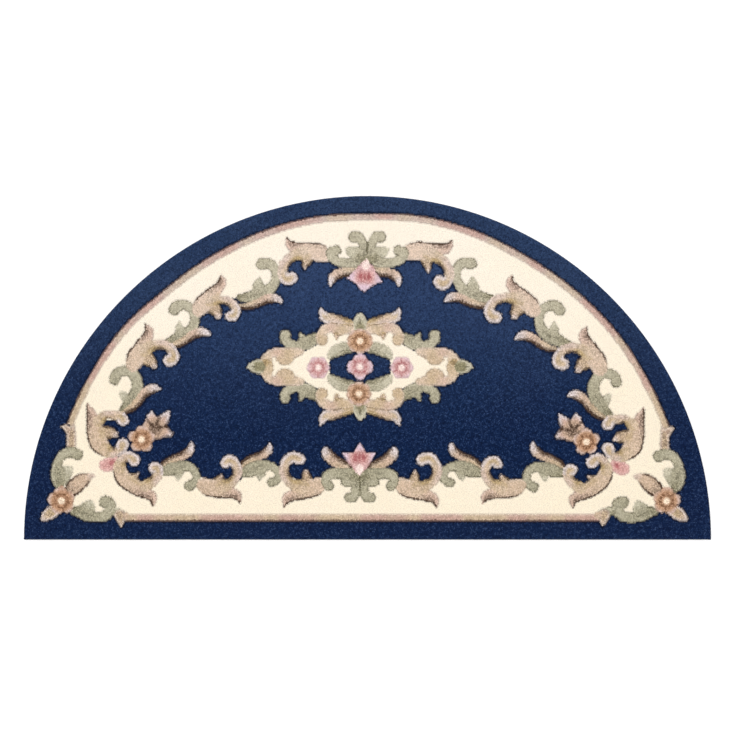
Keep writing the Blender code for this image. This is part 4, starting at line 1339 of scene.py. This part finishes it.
@dataclass(frozen=True, kw_only=True)
class BackingMaterial(Surface):
    """The plain woven cloth on the rug's underside.

    Attributes:
        pitch: the distance from thread to thread, in metres.
        slub_scale: thick places to a metre of thread.
    """

    name: str = "woven_backing"
    pitch: float = 2.4 * MM
    slub_scale: float = 160.0

    def draw(self, tree: NodeTree, where: Socket) -> tuple[Socket, Socket]:
        """Linen threads that pass over and under each other, each painted darker towards its edges as shade.
        """
        turns = math.pi / self.pitch
        across, down = (tree.node("ShaderNodeSeparateXYZ", {}, where, out=axis) * turns for axis in "XY")
        warp, weft = (way.math("SINE").math("ABSOLUTE") for way in (across, down))
        over = (across.math("COSINE") * down.math("COSINE")).math("SIGN") * 0.5 + 0.5
        thread = warp * over + weft * (1.0 - over)
        slub = tree.noise(where, self.slub_scale, 3.0, 0.6)
        # painted shade: each thread darker towards its edges; the slubs are the linen's own uneven tone
        light = 0.62 + 0.3 * thread + 0.3 * (slub - 0.5)
        return tree.tinted((*linear(LINEN), 1.0), light), thread + slub * 0.5


@dataclass
class Profile:
    """The height of the pile over the rug: a rolled rim, raised ornament and carved lines beside it.

    Attributes:
        ground: the height of the plain pile.
        relief: how much higher the ornament stands.
        slope: how wide the ornament's sloping sides are.
        groove: how deep the shears cut along the ornament's edge.
        groove_place: how far outside the ornament it is deepest.
        groove_reach: how wide that cut is.
        rim: the height of the pile at the very edge.
        roll: how far in the rim's roll reaches.
        step: how far to either side of a point its slope is measured.
    """

    ground: float = 12.0
    relief: float = 1.6
    slope: float = 3.0
    groove: float = 0.9
    groove_place: float = 0.8
    groove_reach: float = 2.6
    rim: float = 8.5
    roll: float = 4.0
    step: float = 1.2

    def inside(self, points: Points) -> Points:
        """How far points lie inside the rug's outline."""
        return np.minimum(RADIUS - np.linalg.norm(points, axis=1), points[:, 1])

    def height(self, reading: Reading) -> Points:
        """The pile's height at the points of a reading."""
        share = np.clip(self.inside(reading.points) / self.roll, 0, 1)
        edge = self.rim + (self.ground - self.rim) * np.sqrt(1 - (1 - share) ** 2)
        raised = self.relief * smooth(-reading.gap / self.slope)
        cut = self.groove * smooth(1 - np.abs(reading.gap - self.groove_place) / self.groove_reach)
        return edge + raised - cut

    def slope_at(self, pattern: Pattern, points: Points) -> Points:
        """The pile's slope at points, as a rise to the right and a rise upwards."""
        slopes = []
        for offset in ((self.step, 0.0), (0.0, self.step)):
            ahead = self.height(pattern.read(points + offset))
            behind = self.height(pattern.read(points - offset))
            slopes.append((ahead - behind) / (2 * self.step))
        return np.column_stack(slopes)


def new_object(name: str, mesh: bpy.types.Mesh) -> bpy.types.Object:
    """Puts a mesh into the scene at the origin."""
    piece = bpy.data.objects.new(name, mesh)
    bpy.context.scene.collection.objects.link(piece)
    return piece


def packed(values: Points) -> Points:
    """Values in one row, as Blender takes them."""
    return np.ascontiguousarray(values, np.float32).ravel()


def carry(mesh: bpy.types.Mesh, name: str, values: Points, kind: str = "FLOAT") -> None:
    """Gives each of a mesh's points a named value, colour or direction."""
    key = {"FLOAT": "value", "FLOAT_COLOR": "color", "FLOAT_VECTOR": "vector"}[kind]
    mesh.attributes.new(name, kind, "POINT").data.foreach_set(key, packed(values))


MAP_MARGIN = 0.004


def plan_map(mesh: bpy.types.Mesh) -> None:
    """Lays a mesh out as it is seen from above, filling the map from edge to edge."""
    places = np.empty(len(mesh.vertices) * 3, np.float32)
    mesh.vertices.foreach_get("co", places)
    places = places.reshape(-1, 3)[:, :2]
    low, high = places.min(0), places.max(0)
    corners = np.empty(len(mesh.loops), np.int32)
    mesh.loops.foreach_get("vertex_index", corners)
    flat = MAP_MARGIN + (1 - 2 * MAP_MARGIN) * (places - low) / (high - low)
    mesh.uv_layers.new(name="OFBake").data.foreach_set("uv", packed(flat[corners]))


def foot_colours(reading: Reading) -> Points:
    """The colour of the pile's foot at each point of a reading, mixed from its yarn's strands, painted sheen
    and shadow included.
    """
    colours = np.ones((len(reading.yarn), 4))
    # painted sheen towards the top of the arc, as in the pile's material
    painted_sheen = smooth((reading.points[:, 1] - PAINTED_SHEEN_START) / (PAINTED_SHEEN_END - PAINTED_SHEEN_START))
    for yarn, finish in FINISHES.items():
        chosen = (reading.yarn == yarn.value).nonzero()[0]
        colour = np.tile(linear(finish.body), (len(chosen), 1))
        colour += (np.array(linear(finish.far)) - colour) * painted_sheen[chosen, None]
        for shade in (Shade.BLUSH, Shade.WARM, Shade.PALE, Shade.DEEP):
            amount = getattr(reading.shading, shade.value)[chosen, None]
            colour += (np.array(linear(getattr(finish, shade.value))) - colour) * amount
        colours[chosen, :3] = colour
    return colours


def staggered(pitch: float, start: float) -> Points:
    """Places in rows across the rug, every other row shifted by half a step.

    Args:
        pitch: the distance from place to place.
        start: where the first row lies, in steps from row to row above the straight edge.

    Returns:
        The places, row by row from the straight edge upwards.
    """
    rise = pitch * math.sqrt(3) / 2
    rows = np.arange(start * rise, RADIUS, rise)
    across = np.arange(-RADIUS, RADIUS, pitch)
    places = [np.column_stack([across + (number % 2) * pitch / 2, np.full(len(across), row)])
              for number, row in enumerate(rows)]
    return np.vstack(places)


@dataclass
class PileGround:
    """The rug's body under the tufts: a carved top, a rolled side and a woven underside.

    Attributes:
        pattern: the rug's drawing.
        profile: the pile's heights.
        sink: how far the tufts' feet lie below the pile's surface.
        pitch: the distance between the top's points.
        arc_steps: the outline's steps round the arc; points nearer than CLOSEST are one.
        rim: how far inside the outline the two outer rings of the top lie.
        side: how far inside it and how high each ring down the side lies.
        gather: how far inside the rim the honeycomb starts, in its own pitches.
        name: the piece's name.
    """

    CLOSEST = 1e-5

    pattern: Pattern
    profile: Profile
    sink: float = 2.6
    pitch: float = 4.4
    arc_steps: int = 480
    rim: tuple[float, float] = (0.8, 1.6)
    side: tuple[tuple[float, float], ...] = ((0.0, 6.4), (0.0, 4.5), (0.6, 1.6), (1.5, 0.0))
    gather: float = 0.6
    name: str = "pile_ground"

    def ring(self, inset: float) -> Points:
        """The rug's outline, drawn in by inset, counter-clockwise from its right-hand corner."""
        reach = RADIUS - inset
        start = math.asin(inset / reach)
        angles = np.linspace(start, math.pi - start, self.arc_steps + 1)
        arc = np.column_stack([reach * np.cos(angles), reach * np.sin(angles)])
        straight = np.linspace(arc[-1], arc[0], 2 * self.arc_steps // 3 + 1)[1:-1]
        return np.vstack([arc, straight]).round(5)

    def field_points(self) -> Points:
        """A honeycomb of points inside the rim."""
        points = staggered(self.pitch, 1.0)
        return points[self.profile.inside(points) > self.profile.roll + self.pitch * self.gather]

    def top(self) -> tuple[Points, list[tuple[int, ...]], int]:
        """The top's points as seen from above, its faces, and how many of the points are its outline."""
        rings = [self.ring(inset) for inset in (*self.rim, self.profile.roll)]
        count = len(rings[0])
        plan = np.vstack([*rings, self.field_points()])
        edges = [(number, (number + 1) % count) for number in range(count)]
        result = delaunay_2d_cdt([Vector(point) for point in plan], edges, [], 1, self.CLOSEST, False)
        return np.array([tuple(point) for point in result[0]]), [tuple(face) for face in result[2]], count

    def build(self) -> bpy.types.Object:
        """Makes the body's mesh, closed all round."""
        flat, faces, count = self.top()
        reading = self.pattern.read(flat)
        places = [np.column_stack([flat, self.profile.height(reading) - self.sink])]
        upper = list(range(count))
        top_faces = len(faces)
        for inset, level in self.side:
            start = sum(len(part) for part in places)
            lower = [start + number for number in range(count)]
            places.append(np.column_stack([self.ring(inset), np.full(count, level)]))
            for number in range(count):
                after = (number + 1) % count
                faces.append((lower[number], lower[after], upper[after], upper[number]))
            upper = lower
        side_faces = len(faces)
        faces.append(tuple(reversed(upper)))
        places = np.vstack(places)
        places[:, 1] -= RADIUS / 2
        mesh = bpy.data.meshes.new(self.name)
        mesh.from_pydata((places * MM).tolist(), [], faces)
        navy = np.tile((*linear(FINISHES[Yarn.BORDER].body), 1.0), (len(places) - len(flat), 1))
        colours = np.vstack([foot_colours(reading), navy])
        carry(mesh, GroundMaterial.attribute, colours, "FLOAT_COLOR")
        mesh.materials.append(GroundMaterial().make())
        mesh.materials.append(BackingMaterial().make())
        slots = np.zeros(len(faces), np.int32)
        slots[side_faces:] = 1
        mesh.polygons.foreach_set("material_index", slots)
        mesh.polygons.foreach_set("use_smooth", np.arange(len(faces)) < side_faces)
        LOG.info("%s: %d faces, %d of them on top", self.name, len(faces), top_faces)
        return new_object(self.name, mesh)


class EdgeRow(NamedTuple):
    """A row of tufts round the rug's side: how far in it stands, how high, and how steeply it rises."""

    inset: float
    level: float
    rise: float


EDGE_ROWS = (EdgeRow(0.4, 7.6, 0.9), EdgeRow(-0.1, 5.2, 0.25), EdgeRow(0.3, 2.6, 0.1))


@dataclass
class Tufts:
    """Every tuft of the rug, sown over the drawing in staggered rows.

    Attributes:
        pattern: the rug's drawing.
        profile: the pile's heights.
        pitch: the distance from tuft to tuft.
        stray: how far a tuft may stand off its row, as a share of the pitch.
        hem: how far inside the outline the outermost tufts stand.
        follow: how much tufts lean with the slope they stand on.
        edge_rows: the rows round the side, which stop an ARC_GAP (an angle) and an END_GAP short of
            the rug's two points.
        edge_stray: how far a tuft in those rows may stand off its place.
        edge_floor: the lowest that such a tuft's end comes.
    """

    ARC_GAP = 0.001
    END_GAP = 1.0

    pattern: Pattern
    profile: Profile
    pitch: float = 2.7
    stray: float = 0.24
    hem: float = 1.0
    follow: float = 0.6
    edge_rows: tuple[EdgeRow, ...] = EDGE_ROWS
    edge_stray: float = 0.5
    edge_floor: float = 2.0
    places: Points = field(init=False)
    lean: Points = field(init=False)
    reading: Reading = field(init=False)

    def sow(self) -> None:
        """Works out where each tuft stands, which way it leans and what yarn it is."""
        random = np.random.default_rng(SEED)
        flat = staggered(self.pitch, 0.5)
        flat += random.uniform(-self.stray, self.stray, flat.shape) * self.pitch
        flat = flat[self.profile.inside(flat) > self.hem]
        self.reading = self.pattern.read(flat)
        height = self.profile.height(self.reading)
        slope = self.profile.slope_at(self.pattern, flat)
        self.places = np.column_stack([flat[:, 0], flat[:, 1] - RADIUS / 2, height]) * MM
        self.lean = np.column_stack([-self.follow * slope, np.ones(len(flat))])

    def edge(self) -> tuple[Points, Points]:
        """The tufts that stand out of the rug's side: their places, and the way each points."""
        random = np.random.default_rng(SEED + 1)
        places, ways = [], []
        for inset, level, rise in self.edge_rows:
            reach = RADIUS - inset
            angles = np.arange(self.ARC_GAP, math.pi - self.ARC_GAP, self.pitch / reach)
            out = np.column_stack([np.cos(angles), np.sin(angles)])
            across = np.arange(-RADIUS + self.END_GAP, RADIUS - self.END_GAP, self.pitch)
            straight = np.column_stack([across, np.full(len(across), inset)])
            down = np.tile((0.0, -1.0), (len(across), 1))
            for flat, facing in ((reach * out, out), (straight, down)):
                places.append(np.column_stack([flat, np.full(len(flat), level)]))
                ways.append(np.column_stack([facing, np.full(len(flat), rise)]))
        places, ways = np.vstack(places), np.vstack(ways)
        places += random.uniform(-self.edge_stray, self.edge_stray, places.shape)
        places[:, 2] = np.maximum(places[:, 2], self.edge_floor)
        places[:, 1] -= RADIUS / 2
        return places * MM, ways


@dataclass
class TuftTree:
    """The Geometry Nodes that stand a tuft on every point of a mesh.

    Attributes:
        sides: the sides of one tuft.
        fatness: how much the tufts' widths differ.
        seed: what the tufts' differences start from.
        inputs: the modifier's names for the sizes that it takes.
    """

    sides: int = 6
    fatness: float = 0.1
    seed: int = SEED
    inputs: dict[str, str] = field(default_factory=dict)

    def chance(self, tree: NodeTree, number: int, low: object, high: object) -> Socket:
        """A random value or direction for each tuft, from low to high."""
        kept = {"data_type": "FLOAT_VECTOR" if isinstance(low, tuple) else "FLOAT"}
        return tree.node("FunctionNodeRandomValue", kept, low, high, Seed=self.seed + number)

    def build(self, material: bpy.types.Material) -> bpy.types.NodeTree:
        """Builds the tree, which ends in plain geometry of one material."""
        group = bpy.data.node_groups.new("cut_pile", "GeometryNodeTree")
        face = group.interface
        face.new_socket("Rows", in_out="INPUT", socket_type="NodeSocketGeometry")
        for name in ("Tuft Width", "Tuft Height", "Unevenness", "Splay"):
            socket = face.new_socket(name, in_out="INPUT", socket_type="NodeSocketFloat")
            self.inputs[name] = socket.identifier
        face.new_socket("Pile", in_out="OUTPUT", socket_type="NodeSocketGeometry")
        tree = NodeTree(group)
        source = group.nodes.new("NodeGroupInput")
        rows, width, height, uneven, splay = (Socket(tree, socket) for socket in list(source.outputs)[:5])
        cone = {"Vertices": self.sides, "Radius_Top": 0.0, "Radius_Bottom": 1.0, "Depth": 1.0}
        tuft = tree.node("GeometryNodeMeshCone", {"fill_type": "NONE"}, out="Mesh", **cone)
        tuft = tree.node("GeometryNodeSetShadeSmooth", {}, Geometry=tuft)
        way = tree.node("GeometryNodeInputNamedAttribute", {"data_type": "FLOAT_VECTOR"}, "way")
        toss = self.chance(tree, 0, (-1.0, -1.0, 0.0), (1.0, 1.0, 0.0))
        toss = tree.node("ShaderNodeVectorMath", {"operation": "SCALE"}, toss, Scale=splay)
        way = tree.node("ShaderNodeVectorMath", {"operation": "ADD"}, way, toss)
        spin = tree.node("ShaderNodeCombineXYZ", {}, 0.0, 0.0, self.chance(tree, 1, 0.0, math.tau))
        spin = tree.node("FunctionNodeEulerToRotation", {}, spin)
        stand = tree.node("FunctionNodeAlignRotationToVector", {"axis": "Z"}, Vector=way)
        stand = tree.node("FunctionNodeRotateRotation", {"rotation_space": "LOCAL"}, stand, spin)
        fat = self.chance(tree, 2, 1.0 - self.fatness, 1.0 + self.fatness)
        tall = height * (1.0 + self.chance(tree, 3, -1.0, 1.0) * uneven)
        size = tree.node("ShaderNodeCombineXYZ", {}, width * fat, width * fat, tall)
        stood = {"Points": rows, "Instance": tuft, "Rotation": stand, "Scale": size}
        pile = tree.node("GeometryNodeInstanceOnPoints", {}, **stood)
        pile = tree.node("GeometryNodeRealizeInstances", {}, pile)
        pile = tree.node("GeometryNodeSetMaterial", {}, Geometry=pile, Material=material)
        sink = group.nodes.new("NodeGroupOutput")
        group.links.new(pile.link, sink.inputs[0])
        return group


@dataclass
class PilePiece:
    """The tufts of one yarn, as one piece.

    Attributes:
        name: the piece's name.
        finish: the yarn's colours.
        width: half the width of a tuft at its foot, in millimetres.
        height: a tuft's height above its foot, in millimetres.
        unevenness: how much the heights differ.
        splay: how far tufts lean at random.
        buried: how much of a tuft's height lies below the place it is given.
    """

    name: str
    finish: Finish
    width: float = 1.75
    height: float = 3.8
    unevenness: float = 0.12
    splay: float = 0.16
    buried: float = 0.94

    def build(
        self, places: Points, ways: Points, shading: Shading, random: np.random.Generator
    ) -> bpy.types.Object:
        """Makes the piece.

        Args:
            places: where the tufts' tops are, in metres.
            ways: the direction in which each tuft stands.
            shading: its strands.
            random: where the tufts' flecks come from.

        Returns:
            A plain mesh object at the origin.
        """
        mesh = bpy.data.meshes.new(self.name)
        ways = ways / np.linalg.norm(ways, axis=1)[:, None]
        feet = places - ways * (self.height * MM * self.buried)
        mesh.from_pydata(feet.tolist(), [], [])
        carry(mesh, "way", ways, "FLOAT_VECTOR")
        for shade, values in zip(Shade, (*shading, random.random(len(places)))):
            carry(mesh, shade.value, values)
        rows = new_object(self.name + "_rows", mesh)
        tree = TuftTree()
        group = tree.build(PileMaterial(name=self.name + "_yarn", finish=self.finish).make())
        modifier = rows.modifiers.new("cut_pile", "NODES")
        modifier.node_group = group
        sizes = (self.width * MM, self.height * MM, self.unevenness, self.splay)
        for name, value in zip(tree.inputs.values(), sizes):
            modifier[name] = value
        evaluated = rows.evaluated_get(bpy.context.evaluated_depsgraph_get())
        pile = bpy.data.meshes.new_from_object(evaluated)
        pile.name = self.name
        bpy.data.objects.remove(rows, do_unlink=True)
        plan_map(pile)
        LOG.info("%s: %d tufts, %d faces", self.name, len(places), len(pile.polygons))
        return new_object(self.name, pile)


@dataclass
class Rug:
    """The whole rug: its body and the pile of every yarn."""

    pattern: Pattern = field(default_factory=Pattern)
    profile: Profile = field(default_factory=Profile)
    pieces: list[bpy.types.Object] = field(default_factory=list)

    def build(self) -> None:
        body = PileGround(self.pattern, self.profile).build()
        plan_map(body.data)
        tufts = Tufts(self.pattern, self.profile)
        tufts.sow()
        random = np.random.default_rng(SEED + 2)
        for name, yarn, chosen in self.shares(tufts):
            shading = Shading(*(values[chosen] for values in tufts.reading.shading))
            piece = PilePiece(name, FINISHES[yarn])
            self.pieces.append(piece.build(tufts.places[chosen], tufts.lean[chosen], shading, random))
        places, ways = tufts.edge()
        bare = Shading(*(np.zeros(len(places)) for _ in Shading._fields))
        edge = PilePiece("pile_edge", FINISHES[Yarn.BORDER], height=2.6, splay=0.3)
        self.pieces.append(edge.build(places, ways, bare, random))
        for piece in (body, *self.pieces):
            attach(piece, "root")
            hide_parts("rug")
        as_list(self.pieces)

    def shares(self, tufts: Tufts) -> Iterator[tuple[str, Yarn, Points]]:
        """Names each piece of pile, its yarn and which tufts it holds."""
        yarn = tufts.reading.yarn
        right = tufts.places[:, 0] > 0
        for kind in Yarn:
            chosen = yarn == kind.value
            if kind is Yarn.FIELD:
                yield "pile_field_left", kind, chosen & ~right
                yield "pile_field_right", kind, chosen & right
            else:
                yield "pile_" + kind.name.lower(), kind, chosen


@dataclass
class Studio:
    """The pale floor, the soft light and the camera straight above the rug.

    Attributes:
        view_width: how much of the floor the picture spans, in metres.
        view_height: how high the camera is.
        rug_top: how high above the floor that width is measured.
        centre: the point that the picture is centred on.
        sensor: the width of the camera's sensor, in millimetres.
        floor_reach: how far the floor goes on each side.
        world_strength: how bright the even light from all round is.
        lamp_power: the lamp's power in watts.
        lamp_size: its width and its depth.
        lamp_place: where it hangs.
    """

    view_width: float = 1.4686
    view_height: float = 6.0
    rug_top: float = 0.012
    centre: tuple[float, float] = (0.001, -0.0006)
    sensor: float = 36.0
    floor_reach: float = 14.0
    world_strength: float = 0.79
    lamp_power: float = 485.0
    lamp_size: tuple[float, float] = (5.0, 3.0)
    lamp_place: tuple[float, float, float] = (-0.3, 1.7, 7.6)

    def build(self) -> None:
        """Makes the floor, the lights and the camera."""
        self.floor()
        self.lights()
        self.camera()

    def floor(self) -> None:
        """A plain pale floor."""
        material, _, shader = new_material("studio_floor")
        shader.inputs["Base Color"].default_value = (0.9, 0.9, 0.9, 1.0)
        shader.inputs["Roughness"].default_value = 0.9
        mesh = bpy.data.meshes.new("floor")
        reach = self.floor_reach
        corners = [(-reach, -reach, 0.0), (reach, -reach, 0.0), (reach, reach, 0.0), (-reach, reach, 0.0)]
        mesh.from_pydata(corners, [], [(0, 1, 2, 3)])
        mesh.materials.append(material)
        new_object("floor", mesh)

    def lights(self) -> None:
        """An even sky and one broad lamp beyond the arc."""
        scene = bpy.context.scene
        world = bpy.data.worlds.new("soft_sky")
        world.use_nodes = True
        background = world.node_tree.nodes["Background"]
        background.inputs["Color"].default_value = (1.0, 1.0, 1.0, 1.0)
        background.inputs["Strength"].default_value = self.world_strength
        scene.world = world
        lamp = bpy.data.lights.new("softbox", "AREA")
        lamp.shape = "RECTANGLE"
        lamp.size, lamp.size_y = self.lamp_size
        lamp.energy = self.lamp_power
        holder = bpy.data.objects.new("softbox", lamp)
        holder.location = self.lamp_place
        holder.rotation_euler = (-holder.location).to_track_quat("-Z", "Y").to_euler()
        scene.collection.objects.link(holder)

    def camera(self) -> None:
        """A long lens straight above."""
        data = bpy.data.cameras.new("camera")
        data.sensor_width = self.sensor
        data.lens = self.sensor * (self.view_height - self.rug_top) / self.view_width
        data.clip_end = 50.0
        camera = bpy.data.objects.new("camera", data)
        camera.location = (*self.centre, self.view_height)
        bpy.context.scene.collection.objects.link(camera)
        bpy.context.scene.camera = camera
        bpy.context.scene.view_settings.view_transform = "Standard"
        bpy.context.scene.view_settings.look = "None"


def main() -> None:
    """Builds the rug and the studio."""
    logging.basicConfig(level=logging.INFO, format="%(name)s: %(message)s")
    Rug().build()
    Studio().build()


if __name__ == "__main__":
    main()
